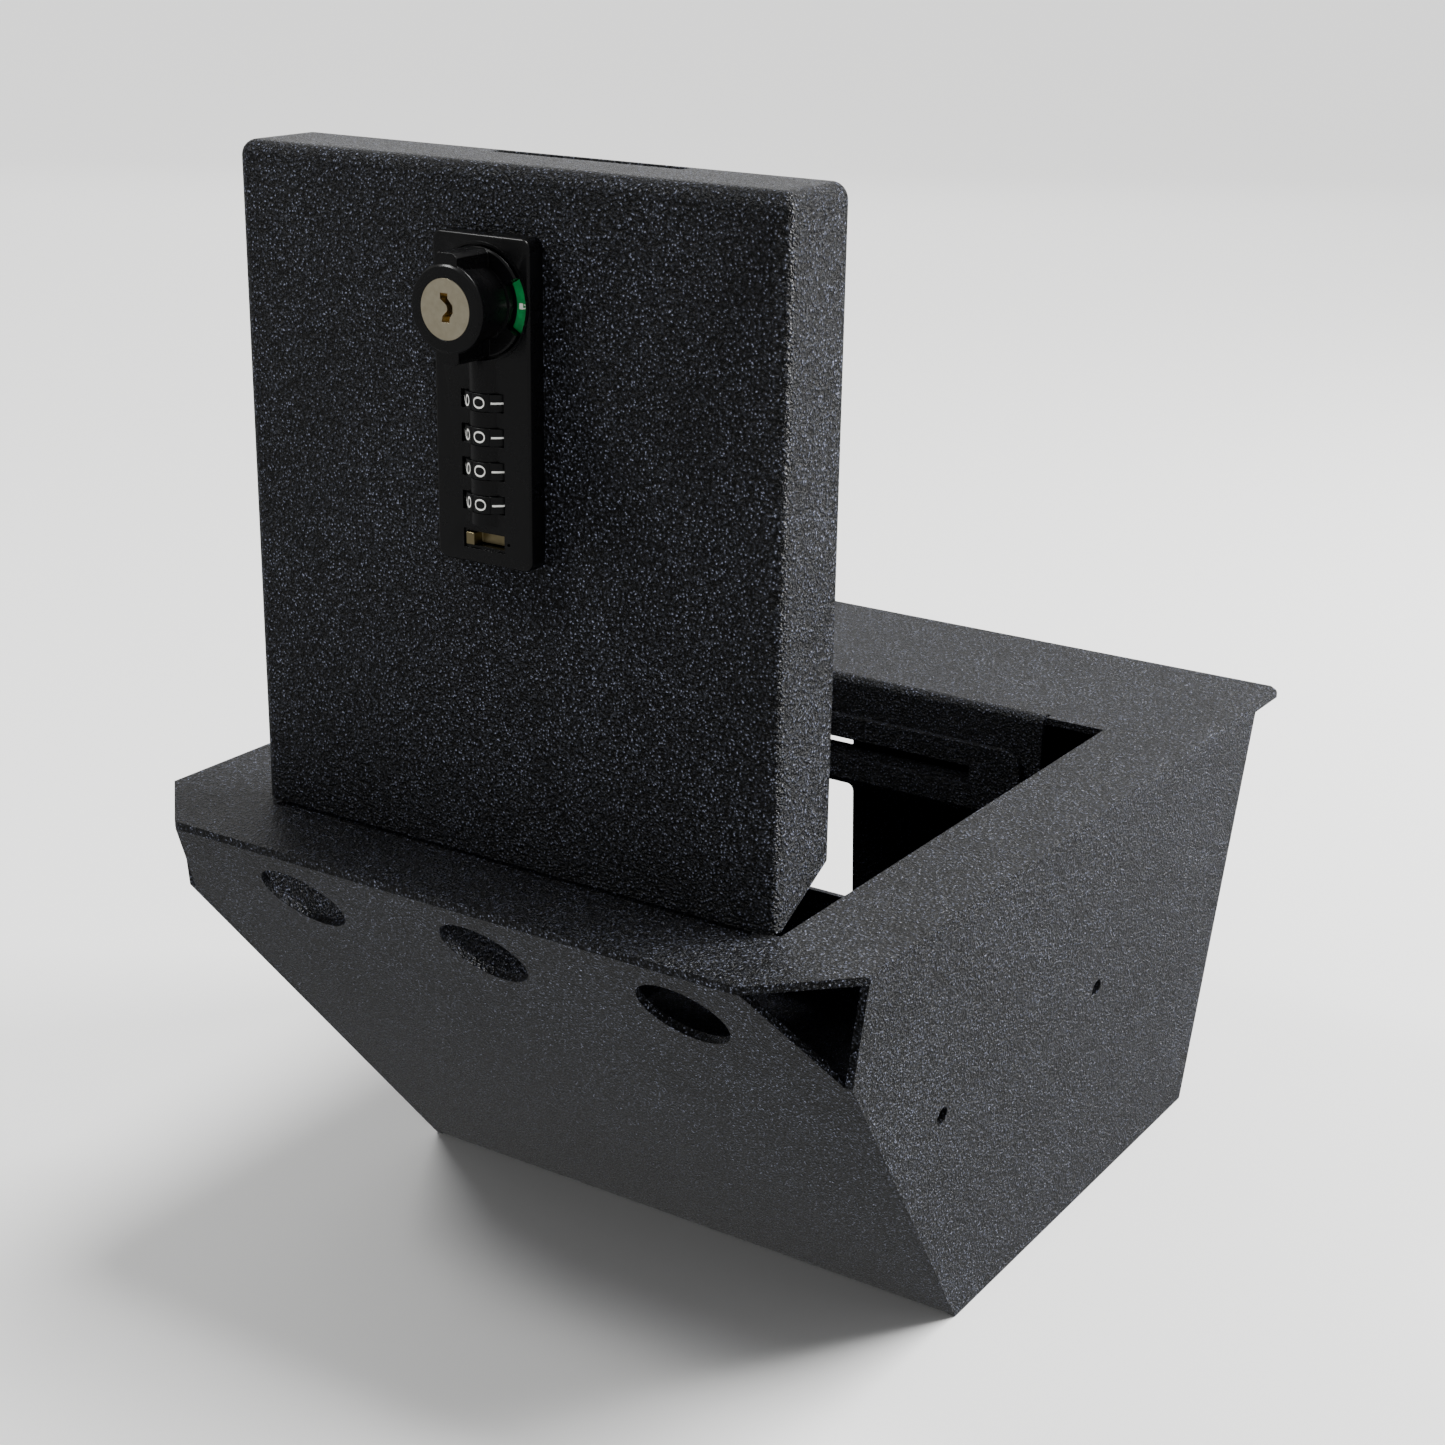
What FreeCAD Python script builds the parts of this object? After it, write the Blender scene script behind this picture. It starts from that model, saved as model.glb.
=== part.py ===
"""Console safe: a folded steel strongbox with a drop-in flange, a lid hinged at the front
and a four-dial combination cam lock with a key override.

The frame is +Z up, X across, +Y to the back, in millimetres.  The origin is the middle of
the base, on the surface that the box stands on.  The lid is modelled standing open.
"""
import FreeCAD
import Part
import Sketcher
import math
import os

doc = FreeCAD.newDocument("console_safe")
size = doc.addObject("Spreadsheet::Sheet", "size")

DIMENSIONS = [
    # the folded box
    ("flange_width", 273.0, "top flange, side to side"),
    ("flange_length", 346.0, "top flange, front to back"),
    ("body_height", 177.0, "base to the top of the flange"),
    ("sheet", 2.7, "12 gauge steel with its coating"),
    ("corner_clip", 27.5, "45 degree clip on the front corners of the flange"),
    ("rear_clip", 4.2, "clip on the rear corners of the flange"),
    ("clip_radius", 6.0, "rounding where the clip meets the front edge"),
    ("fold_radius", 1.2, "outside of the fold between flange and side"),
    ("side_lean", 21.1, "how far each side comes in at the base"),
    ("rear_overhang", 25.0, "flange past the back wall"),
    ("back_lean", 9.5, "how far the back wall goes back at the base"),
    ("front_setback", 0.5, "front panel behind the flange's edge"),
    ("base_setback", 135.7, "front of the base behind the flange's edge"),
    ("bend_radius", 4.0, "outside of the bends at the floor"),
    # holes in the box
    ("front_hole_radius", 15.7, "three round openings in the front panel"),
    ("front_hole_pitch", 74.6, "spacing of the round openings"),
    ("front_hole_shift", 5.2, "middle round opening from the centre line"),
    ("front_hole_drop", 26.2, "round openings below the flange, along the panel"),
    ("side_hole_radius", 3.3, "fixing holes for M6 bolts"),
    ("side_hole_depth", 77.3, "fixing holes below the top of the flange"),
    ("side_hole_front", 94.5, "first fixing hole behind the flange's edge"),
    ("side_hole_pitch", 115.2, "spacing of the fixing holes"),
    ("window_inset", 38.3, "cut-outs in the back wall, left of the centre line"),
    ("window_width", 55.0, "cut-outs in the back wall, side to side"),
    ("window_top", 71.0, "large cut-out below the top of the flange"),
    ("window_height", 54.5, "large cut-out"),
    ("window_radius", 3.0, "corners of the large cut-out"),
    ("vent_top", 49.4, "narrow slot below the top of the flange"),
    ("vent_height", 4.2, "narrow slot"),
    # the lid
    ("lid_width", 200.0, "lid, side to side"),
    ("lid_height", 215.5, "lid, hinge edge to latch edge"),
    ("lid_depth", 30.5, "depth of the lid's folded sides"),
    ("lid_radius", 5.0, "outside of the lid's folds"),
    ("lid_set", 33.4, "open lid's face behind the flange's front edge"),
    ("lid_gap", 0.2, "open lid's edge above the flange it stops on"),
    ("side_gap", 1.0, "lid to the sides of the mouth"),
    ("latch_gap", 3.7, "closed lid to the strike"),
    ("lid_chamfer_start", 4.6, "slope on the lid's sides, from the lid's face"),
    ("lid_chamfer_rise", 14.4, "slope on the lid's sides, at their free edge"),
    # the hinge
    ("hinge_drop", 2.5, "pin below the flange's top and behind the lid's face"),
    ("hinge_length", 184.0, "piano hinge"),
    ("hinge_leaf", 1.2, "leaf thickness"),
    ("leaf_width", 17.0, "leaf from the pin's centre"),
    ("barrel_radius", 2.4, "outside of the knuckles"),
    ("pin_radius", 1.2, "hinge pin"),
    ("pin_play", 0.05, "turning knuckle round the pin"),
    ("knuckle_gap", 0.3, "between neighbouring knuckles"),
    ("barrel_play", 0.25, "leaf round its neighbour's knuckle"),
    ("notch_play", 1.0, "mouth past the ends of the hinge"),
    ("leaf_seat", 0.4, "front lip in front of the knuckles"),
    ("corner_shelf", 2.6, "flange under the lid's corners, behind the lid's face"),
    # lips and strike
    ("front_lip_depth", 18.0, "lip that carries the hinge"),
    ("rear_lip_depth", 44.0, "lip that carries the strike"),
    ("rear_lip_width", 153.0, "lip that carries the strike"),
    ("lip_radius", 3.4, "outside of the bends at the lips"),
    ("relief_width", 1.5, "saw cut beside each end of the rear lip"),
    ("relief_depth", 4.0, "saw cut beside each end of the rear lip"),
    ("strike_width", 139.0, "strike plate"),
    ("strike_top", 15.5, "strike plate below the flange's top"),
    ("strike_height", 26.3, "strike plate"),
    ("strike_radius", 8.0, "corners of the strike plate"),
    ("slot_left", 20.0, "latch slots, left of the centre line"),
    ("slot_right", 48.0, "latch slots, right of the centre line"),
    ("slot_over", 1.1, "strike slot over the closed cam"),
    ("slot_under", 4.4, "strike slot under the closed cam"),
    ("lip_slot_under", 0.6, "slot in the rear lip under the closed cam"),
    ("slot_play", 1.1, "lid slot in front of and behind the cam"),
    # the lock's case
    ("lock_rise", 147.4, "middle of the lock above the lid's lower edge"),
    ("plate_width", 35.2, "face plate"),
    ("plate_height", 97.8, "face plate"),
    ("plate_thickness", 6.5, "face plate, proud of the lid"),
    ("plate_radius", 3.0, "corners of the face plate"),
    ("plate_bevel", 0.8, "rounded edge of the face plate"),
    ("tub_width", 27.0, "lock body behind the plate"),
    ("tub_height", 92.0, "lock body behind the plate"),
    ("tub_depth", 22.0, "lock body behind the lid's face"),
    ("tub_wall", 2.0, "walls of the lock body and of its case"),
    ("front_wall", 3.5, "face plate in front of the chambers"),
    ("cutout_play", 0.2, "lid's cut-out round the lock body"),
    ("case_width", 37.0, "case that clamps the lock from inside"),
    ("case_height", 98.0, "case that clamps the lock from inside"),
    ("post_size", 5.0, "corner posts for the case screws"),
    ("post_front", 6.0, "front of the corner posts behind the lid's face"),
    ("screw_inset_x", 3.5, "case screws inside the lock body's edge"),
    ("screw_inset_y", 4.5, "case screws inside the lock body's edge"),
    ("screw_radius", 1.25, "case screws"),
    ("screw_play", 0.35, "case hole round the screws"),
    ("screw_head", 2.7, "case screw head radius"),
    ("screw_head_height", 1.4, "case screw head"),
    ("screw_reach", 9.0, "case screws into the posts"),
    # knob, spindle and cam
    ("knob_rise", 29.6, "knob above the middle of the lock"),
    ("ring_radius", 17.4, "raised ring round the knob"),
    ("recess_radius", 16.65, "recess that the knob's skirt turns in"),
    ("recess_floor", 5.0, "floor of the recess in front of the lid's face"),
    ("ring_height", 0.5, "raised ring on the face plate"),
    ("skirt_radius", 16.0, "knob's skirt"),
    ("skirt_back", 5.5, "back of the skirt in front of the lid's face"),
    ("skirt_front", 7.9, "front of the skirt"),
    ("barrel_root", 11.0, "knob's barrel at the skirt"),
    ("barrel_neck", 12.0, "knob's barrel behind its head"),
    ("head_radius", 13.0, "knob's head"),
    ("head_back", 19.9, "back of the head"),
    ("knob_front", 22.7, "knob's face"),
    ("skirt_slope", 0.5, "slope at the skirt's edge"),
    ("head_slope", 0.9, "slope at the head's edges"),
    ("wing_half", 4.1, "half the thickness of the finger grips"),
    ("wing_corner", 1.3, "clipped corners at the ends of the finger grips"),
    ("wing_reach", 15.9, "finger grips from the knob's axis"),
    ("wing_front", 22.1, "front of the finger grips"),
    ("hub_radius", 6.5, "knob's hub"),
    ("hub_back", 2.0, "hub behind the lid's face"),
    ("turn_play", 0.1, "turning pieces in their bores"),
    ("notch_radius", 11.6, "inside of the notch in the skirt"),
    ("notch_angle", 31.0, "half the angle of the notch"),
    ("label_inner", 12.4, "coloured labels, inside"),
    ("label_outer", 15.7, "coloured labels, outside"),
    ("label_angle", 30.0, "half the angle of a label"),
    ("label_thickness", 0.25, "coloured labels"),
    ("tongue", 6.0, "square tongue between knob and spindle"),
    ("tongue_length", 5.0, "square tongue between knob and spindle"),
    ("spindle_radius", 5.0, "spindle"),
    ("cam_depth", 26.1, "front of the cam behind the lid's face"),
    ("cam_thickness", 2.0, "cam"),
    ("cam_length", 56.0, "cam, from the spindle's axis"),
    ("cam_width", 20.0, "cam"),
    ("cam_heel", 9.0, "cam behind the spindle's axis"),
    ("cam_corner", 6.0, "corners of the cam"),
    ("cam_square", 7.0, "square that drives the cam"),
    ("washer_thickness", 0.6, "washer behind the cam"),
    ("washer_radius", 5.5, "washer behind the cam"),
    ("cam_screw_radius", 2.0, "screw that holds the cam"),
    ("cam_screw_head", 3.8, "its head, across the corners"),
    ("cam_screw_height", 1.6, "its head"),
    ("cam_screw_reach", 10.0, "its thread in the spindle"),
    ("clip_groove", 4.4, "spindle groove for the clip"),
    ("clip_outer", 7.5, "clip, outside"),
    ("clip_thickness", 0.8, "clip"),
    ("clip_play", 0.2, "clip behind the case"),
    ("collar_radius", 8.0, "blocking collar"),
    ("collar_front", 4.0, "front of the collar behind the lid's face"),
    ("collar_length", 5.0, "blocking collar"),
    ("collar_notch", 6.6, "bottom of the collar's notches"),
    ("collar_notch_angle", 12.0, "half the angle of a notch"),
    ("ball_radius", 1.5, "detent ball"),
    ("ball_offset", 6.8, "detent ball from the spindle's axis"),
    ("ball_gap", 0.2, "detent ball behind the collar"),
    ("spring_radius", 1.4, "spring behind the ball"),
    ("boss_bore", 1.75, "bore for the ball and its spring"),
    ("boss_radius", 3.0, "boss for the ball and its spring"),
    ("boss_gap", 1.2, "boss behind the collar"),
    # the key cylinder
    ("face_radius", 8.8, "key cylinder's face"),
    ("face_thickness", 1.6, "key cylinder's face"),
    ("plug_radius", 6.05, "key plug"),
    ("plug_back", 6.2, "back of the plug in front of the lid's face"),
    ("sleeve_radius", 8.2, "sleeve round the plug"),
    ("sleeve_back", 6.0, "back of the sleeve"),
    ("keyway_depth", 15.0, "keyway"),
    ("wafer_thickness", 0.8, "wafer tumblers"),
    ("wafer_pitch", 2.5, "wafer tumblers"),
    ("wafer_first", 9.0, "rearmost wafer in front of the lid's face"),
    ("wafer_half_width", 3.3, "wafer tumblers"),
    ("wafer_half_height", 4.9, "wafer tumblers"),
    ("wafer_hole_left", 1.8, "hole for the key in a wafer, left of the axis"),
    ("wafer_hole_right", 2.6, "hole for the key in a wafer, right of the axis"),
    ("wafer_hole_low", 2.6, "hole for the key in a wafer, below the axis"),
    ("wafer_hole_high", 3.2, "hole for the key in a wafer, above the axis"),
    # dials, code rings, fence
    ("first_wheel", 0.7, "top dial above the middle of the lock"),
    ("wheel_pitch", 10.2, "spacing of the dials"),
    ("wheel_radius", 9.1, "dial"),
    ("wheel_width", 5.2, "dial"),
    ("wheel_front", 9.3, "front of the dials in front of the lid's face"),
    ("wheel_window", 15.7, "window round a dial, side to side"),
    ("wheel_play", 0.2, "window above and below a dial"),
    ("rib_front", 9.0, "crest of the rib in front of the lid's face"),
    ("rib_radius", 6.36, "rounding of the rib"),
    ("rib_top", 14.5, "rib above the middle of the lock"),
    ("rib_bottom", 36.4, "rib below the middle of the lock"),
    ("tunnel_radius", 5.2, "room round the code rings"),
    ("shaft_radius", 1.5, "dial shaft"),
    ("ring_play", 0.05, "dials and rings round the shaft"),
    ("code_ring_radius", 4.5, "code ring"),
    ("code_ring_width", 3.6, "code ring"),
    ("gate_width", 2.6, "gate in a code ring"),
    ("gate_depth", 1.5, "gate in a code ring"),
    ("fence_half", 1.5, "half the width of the fence bar"),
    ("fence_thickness", 2.0, "fence bar"),
    ("fence_back", 12.7, "back of the fence bar behind the lid's face"),
    ("finger_front", 5.9, "front of the fence's fingers behind the lid's face"),
    ("finger_width", 2.4, "fence's fingers"),
    ("fence_gap", 0.3, "fence below the collar"),
    ("fence_play", 0.3, "slot round the fence bar"),
    ("fence_travel", 1.2, "fence's stroke"),
    ("chamber_split", 10.0, "web between knob and dials, above the middle"),
    ("chamber_low", 37.0, "web between dials and slider, below the middle"),
    ("web", 2.0, "webs that hold the dial shaft"),
    ("strip", 0.4, "spring strip beside the dials"),
    ("strip_gap", 0.4, "spring tips to the dials"),
    # the code-change slider
    ("slider_drop", 41.5, "slider below the middle of the lock"),
    ("slider_window", 13.8, "window for the slider's tab"),
    ("slider_window_height", 4.3, "window for the slider's tab"),
    ("slider_frame", 0.8, "frame round the slider's window"),
    ("slider_left", 7.5, "slider's plate, left of the centre line"),
    ("slider_right", 6.0, "slider's plate, right of the centre line"),
    ("slider_half", 1.85, "half the height of the slider"),
    ("slider_back", 1.6, "back of the slider in front of the lid's face"),
    ("slider_gap", 0.2, "slider behind the front wall"),
    ("tab_left", 6.6, "slider's tab, left of the centre line"),
    ("tab_width", 3.0, "slider's tab"),
    ("tab_front", 6.9, "front of the tab"),
    ("pinhole_radius", 0.5, "hole beside the slider"),
    ("pinhole_x", 9.1, "hole beside the slider"),
]
for row, (alias, value, note) in enumerate(DIMENSIONS, start=1):
    size.set(f"A{row}", alias)
    size.set(f"B{row}", str(value))
    size.set(f"C{row}", note)
    size.setAlias(f"B{row}", alias)
doc.recompute()

# Places that several pieces share, as expressions on the sheet.
HALF_WIDTH = "size.flange_width / 2"
FRONT = "(-size.flange_length / 2)"
REAR = "size.flange_length / 2"
TOP = "size.body_height"
UNDER = "(size.body_height - size.sheet)"
SIDE_FRONT = f"({FRONT} + size.corner_clip)"
SIDE_SHEET = "(size.sheet / cos(atan(size.side_lean / size.body_height)))"
FRONT_SLOPE = f"((size.base_setback - size.front_setback) / {UNDER})"
BACK_SLOPE = f"(size.back_lean / {UNDER})"
BACK_TOP = f"({REAR} - size.rear_overhang)"
BACK_BASE = f"({BACK_TOP} + size.back_lean)"
LID_FRONT = f"({FRONT} + size.lid_set)"
LID_INSIDE = f"({LID_FRONT} + size.sheet)"
LID_BOTTOM = "(size.body_height + size.lid_gap)"
LID_TOP = f"({LID_BOTTOM} + size.lid_height)"
PIVOT_Y = f"({LID_FRONT} + size.hinge_drop)"
PIVOT_Z = "(size.body_height - size.hinge_drop)"
LIP_FACE = f"({PIVOT_Y} - size.barrel_radius - size.leaf_seat)"
MOUTH_HALF = "(size.lid_width / 2 + size.side_gap)"
NOTCH_HALF = "(size.hinge_length / 2 + size.notch_play)"
CLOSED_END = f"({PIVOT_Y} + size.hinge_drop + size.lid_gap + size.lid_height)"
STRIKE_FRONT = f"({CLOSED_END} + size.latch_gap)"
MOUTH_REAR = f"({STRIKE_FRONT} + size.sheet)"
CAM_CLOSED_TOP = f"({PIVOT_Z} - (size.cam_depth - size.hinge_drop))"
SLOT_TOP = f"({CAM_CLOSED_TOP} + size.slot_over)"
SLOT_BOTTOM = f"({CAM_CLOSED_TOP} - size.cam_thickness - size.slot_under)"
LOCK_Z = f"({LID_BOTTOM} + size.lock_rise)"
KNOB_Z = f"({LOCK_Z} + size.knob_rise)"
WHEEL_AXIS = "(size.wheel_front - size.wheel_radius)"
CHAMBER_FRONT = "(size.plate_thickness - size.front_wall)"
CASE_BACK = "(-(size.tub_depth + size.tub_wall))"
CAM_BACK = "(-(size.cam_depth + size.cam_thickness))"
SLEEVE_FRONT = "(size.knob_front - size.face_thickness - 2 * size.turn_play)"
COLLAR_BACK = "(-(size.collar_front + size.collar_length))"

nodes = []


def number(expression):
    """The present value of an expression on the sheet."""
    return float(size.evalExpression(expression.replace("size.", "")))


def piece(label, frame="box"):
    """A body for one sub-part, set in the frame of the box, the lock or the knob.

    In the lock's and knob's frames X is across, Y is up and Z comes out of the lid's face.
    """
    body = doc.addObject("PartDesign::Body", label)
    body.Label = label
    if frame != "box":
        body.Placement = FreeCAD.Placement(
            FreeCAD.Vector(0, 0, 0), FreeCAD.Rotation(FreeCAD.Vector(1, 0, 0), 90)
        )
        body.setExpression("Placement.Base.y", LID_FRONT)
        body.setExpression("Placement.Base.z", LOCK_Z if frame == "lock" else KNOB_Z)
    return body


def finish(body):
    """Keep a body or boolean as one of the parts to write."""
    nodes.append(body)


def origin_item(body, role):
    return next(item for item in body.Origin.OriginFeatures if item.Role == role)


def pin_point(sketch, geometry, end, x, y):
    """Hold one point of a sketch at a place given by two expressions."""
    for kind, expression in (("DistanceX", x), ("DistanceY", y)):
        held = Sketcher.Constraint(kind, -1, 1, geometry, end, number(expression))
        index = sketch.addConstraint(held)
        sketch.setExpression(f"Constraints[{index}]", expression)


def polygon(*points):
    """A closed outline through the points."""
    def draw(sketch):
        first = sketch.GeometryCount
        places = [FreeCAD.Vector(number(x), number(y), 0) for x, y in points]
        count = len(points)
        for i in range(count):
            sketch.addGeometry(Part.LineSegment(places[i], places[(i + 1) % count]), False)
        for i in range(count):
            following = first + (i + 1) % count
            sketch.addConstraint(Sketcher.Constraint("Coincident", first + i, 2, following, 1))
        for i, (x, y) in enumerate(points):
            pin_point(sketch, first + i, 1, x, y)
    return draw


def rectangle(x0, y0, x1, y1):
    return polygon((x0, y0), (x1, y0), (x1, y1), (x0, y1))


def circle(x, y, radius):
    def draw(sketch):
        index = sketch.GeometryCount
        centre = FreeCAD.Vector(number(x), number(y), 0)
        ring = Part.Circle(centre, FreeCAD.Vector(0, 0, 1), number(radius))
        sketch.addGeometry(ring, False)
        pin_point(sketch, index, 3, x, y)
        held = sketch.addConstraint(Sketcher.Constraint("Radius", index, number(radius)))
        sketch.setExpression(f"Constraints[{held}]", radius)
    return draw


def ring_sector(inner, outer, middle, half_angle):
    """A piece of a ring about the origin, centred on the direction `middle` in degrees."""
    def draw(sketch):
        first = sketch.GeometryCount
        low = math.radians(middle - number(half_angle))
        high = math.radians(middle + number(half_angle))
        for radius in (inner, outer):
            ring = Part.Circle(FreeCAD.Vector(), FreeCAD.Vector(0, 0, 1), number(radius))
            sketch.addGeometry(Part.ArcOfCircle(ring, low, high), False)
        for arc, radius in ((first, inner), (first + 1, outer)):
            sketch.addConstraint(Sketcher.Constraint("Coincident", arc, 3, -1, 1))
            held = sketch.addConstraint(Sketcher.Constraint("Radius", arc, number(radius)))
            sketch.setExpression(f"Constraints[{held}]", radius)
        for end, sign in ((1, "-"), (2, "+")):
            corner = "StartPoint" if end == 1 else "EndPoint"
            near_end, far_end = (getattr(sketch.Geometry[first + i], corner) for i in (0, 1))
            line = sketch.addGeometry(Part.LineSegment(near_end, far_end), False)
            sketch.addConstraint(Sketcher.Constraint("Coincident", line, 1, first, end))
            sketch.addConstraint(Sketcher.Constraint("Coincident", line, 2, first + 1, end))
            direction = f"({middle} {sign} {half_angle})"
            across = abs(math.cos(math.radians(middle))) > abs(math.sin(math.radians(middle)))
            kind, share = ("DistanceY", "sin") if across else ("DistanceX", "cos")
            for arc, radius in ((first, inner), (first + 1, outer)):
                place = f"{radius} * {share}({direction} * 1deg)"
                angle = math.radians(middle + (1 if sign == "+" else -1) * number(half_angle))
                ratio = math.sin(angle) if across else math.cos(angle)
                held = Sketcher.Constraint(kind, -1, 1, arc, end, number(radius) * ratio)
                index = sketch.addConstraint(held)
                sketch.setExpression(f"Constraints[{index}]", place)
    return draw


def sketch_on(body, role, offset, outlines):
    sketch = body.newObject("Sketcher::SketchObject", body.Label + "_sketch")
    sketch.AttachmentSupport = [(origin_item(body, role), "")]
    sketch.MapMode = "FlatFace"
    sketch.setExpression("AttachmentOffset.Base.z", offset)
    for outline in outlines:
        outline(sketch)
    return sketch


def pad(body, role, low, high, *outlines):
    """Add the outlines between two levels along the normal of an origin plane."""
    offset = f"-({high})" if role == "XZ_Plane" else low
    feature = body.newObject("PartDesign::Pad", body.Label + "_pad")
    feature.Profile = sketch_on(body, role, offset, outlines)
    feature.setExpression("Length", f"({high}) - ({low})")
    body.Tip = feature
    return feature


def pocket(body, role, low, high, *outlines):
    """Remove the outlines between two levels along the normal of an origin plane."""
    offset = f"-({low})" if role == "XZ_Plane" else high
    doc.recompute()
    before = body.Shape.Volume
    feature = body.newObject("PartDesign::Pocket", body.Label + "_pocket")
    feature.Profile = sketch_on(body, role, offset, outlines)
    feature.setExpression("Length", f"({high}) - ({low})")
    body.Tip = feature
    doc.recompute()
    if body.Shape.Volume > before - 1e-6:
        raise RuntimeError(f"{body.Label}: {feature.Name} removes nothing")
    return feature


def repeat(body, feature, axis, step, count):
    """Repeat a feature along an axis of the body; a negative step goes the other way."""
    pattern = body.newObject("PartDesign::LinearPattern", body.Label + "_row")
    pattern.Originals = [feature]
    pattern.Direction = (origin_item(body, axis), [""])
    pattern.Reversed = number(step) < 0
    pattern.setExpression("Length", f"abs({step}) * {count - 1}")
    pattern.Occurrences = count
    body.Tip = pattern
    return pattern


def revolve(body, *outlines):
    """Turn outlines drawn in the XZ plane about the body's Z axis."""
    sketch = sketch_on(body, "XZ_Plane", "0", outlines)
    feature = body.newObject("PartDesign::Revolution", body.Label + "_turned")
    feature.Profile = sketch
    feature.ReferenceAxis = (sketch, ["V_Axis"])
    feature.Angle = 360
    body.Tip = feature
    return feature


def drill(body, x, y, z, turn_axis, turn, radius, length):
    """A round hole at a place, turned about an axis so that it runs along its own Z."""
    feature = body.newObject("PartDesign::SubtractiveCylinder", body.Label + "_hole")
    feature.Placement = FreeCAD.Placement(
        FreeCAD.Vector(0, 0, 0), FreeCAD.Rotation(FreeCAD.Vector(*turn_axis), 1)
    )
    for name, expression in (("x", x), ("y", y), ("z", z)):
        feature.setExpression(f"Placement.Base.{name}", expression)
    feature.setExpression("Placement.Rotation.Angle", turn)
    feature.setExpression("Radius", radius)
    feature.setExpression("Height", length)
    body.Tip = feature
    return feature


def round_edges(body, radius, wanted, count=None):
    """Round the edges whose ends satisfy `wanted(first, last)`."""
    doc.recompute()
    base = body.Tip
    names = []
    for index, edge in enumerate(base.Shape.Edges, start=1):
        ends = [vertex.Point for vertex in edge.Vertexes]
        if len(ends) == 2 and wanted(ends[0], ends[1]):
            names.append(f"Edge{index}")
    if not names or (count and len(names) != count):
        raise RuntimeError(f"{body.Label}: {len(names)} edges to round, {count} wanted")
    feature = body.newObject("PartDesign::Fillet", body.Label + "_round")
    feature.Base = (base, names)
    feature.setExpression("Radius", radius)
    body.Tip = feature
    return feature


def near(a, b):
    return abs(a - b) < 1e-3


def along(a, b, axis):
    """True if the edge from a to b runs along one axis only."""
    step = b - a
    others = [getattr(step, name) for name in "xyz" if name != axis]
    return abs(getattr(step, axis)) > 1e-3 and all(abs(value) < 1e-3 for value in others)


def build_top_shell():
    """Flange, both sides and the two lips of the mouth, folded from one sheet."""
    body = piece("top_shell")
    clip_x = f"({HALF_WIDTH} - size.corner_clip)"
    rear_x = f"({HALF_WIDTH} - size.rear_clip)"
    rear_y = f"({REAR} - size.rear_clip)"
    pad(body, "XY_Plane", UNDER, TOP, polygon(
        (f"-{clip_x}", FRONT), (clip_x, FRONT),
        (HALF_WIDTH, SIDE_FRONT), (HALF_WIDTH, rear_y),
        (rear_x, REAR), (f"-{rear_x}", REAR),
        (f"-{HALF_WIDTH}", rear_y), (f"-{HALF_WIDTH}", SIDE_FRONT),
    ))
    base_half = f"({HALF_WIDTH} - size.side_lean)"
    for sign in ("", "-"):
        pad(body, "XZ_Plane", SIDE_FRONT, BACK_BASE, polygon(
            (f"{sign}({HALF_WIDTH})", TOP), (f"{sign}{base_half}", "0"),
            (f"{sign}({base_half} - {SIDE_SHEET})", "0"),
            (f"{sign}({HALF_WIDTH} - {SIDE_SHEET})", TOP),
        ))
    slope_top = f"({FRONT} + size.front_setback)"
    slope_base = f"({FRONT} + size.base_setback)"
    pocket(body, "YZ_Plane", f"-{HALF_WIDTH}", HALF_WIDTH,
           polygon((slope_top, UNDER), (slope_base, "0"), (slope_top, "0")),
           polygon((BACK_TOP, UNDER), (REAR, UNDER), (REAR, "0"), (BACK_BASE, "0")))
    cut_mouth(body)
    lip_half = "(size.hinge_length / 2)"
    pad(body, "XY_Plane", f"{TOP} - size.front_lip_depth", TOP,
        rectangle(f"-{lip_half}", f"{LIP_FACE} - size.sheet", lip_half, LIP_FACE))
    rear_half = "(size.rear_lip_width / 2)"
    pad(body, "XY_Plane", f"{TOP} - size.rear_lip_depth", TOP,
        rectangle(f"-{rear_half}", MOUTH_REAR, rear_half, f"{MOUTH_REAR} + size.sheet"))
    lip_slot_bottom = f"({CAM_CLOSED_TOP} - size.cam_thickness - size.lip_slot_under)"
    pocket(body, "XZ_Plane", MOUTH_REAR, f"{MOUTH_REAR} + size.sheet",
           rectangle("-size.slot_left", lip_slot_bottom, "size.slot_right", SLOT_TOP))
    top = number(TOP)
    round_edges(body, "size.lip_radius", lambda a, b: along(a, b, "x") and near(a.z, top)
                and (near(a.y, number(LIP_FACE)) or near(a.y, number(MOUTH_REAR)))
                and abs(a.x) < number("size.rear_lip_width / 2") * 1.3
                and abs((b - a).x) > number("size.slot_right") * 2, 2)
    round_edges(body, "size.clip_radius", lambda a, b: along(a, b, "z")
                and near(a.y, number(FRONT)), 2)
    round_edges(body, "size.fold_radius", lambda a, b: along(a, b, "y") and near(a.z, top)
                and near(abs(a.x), number(HALF_WIDTH)), 2)
    tilt = "atan(size.side_lean / size.body_height)"
    inset = "size.side_hole_depth * size.side_lean / size.body_height"
    for sign, turn in (("", f"90deg - {tilt}"), ("-", f"-(90deg - {tilt})")):
        for hole in range(2):
            drill(body, f"{sign}({HALF_WIDTH} - {inset} + size.sheet * 0.6)",
                  f"{FRONT} + size.side_hole_front + {hole} * size.side_hole_pitch",
                  f"{TOP} - size.side_hole_depth", (0, 1, 0), f"-({turn})",
                  "size.side_hole_radius", "size.sheet * 2.2")
    finish(body)


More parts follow.
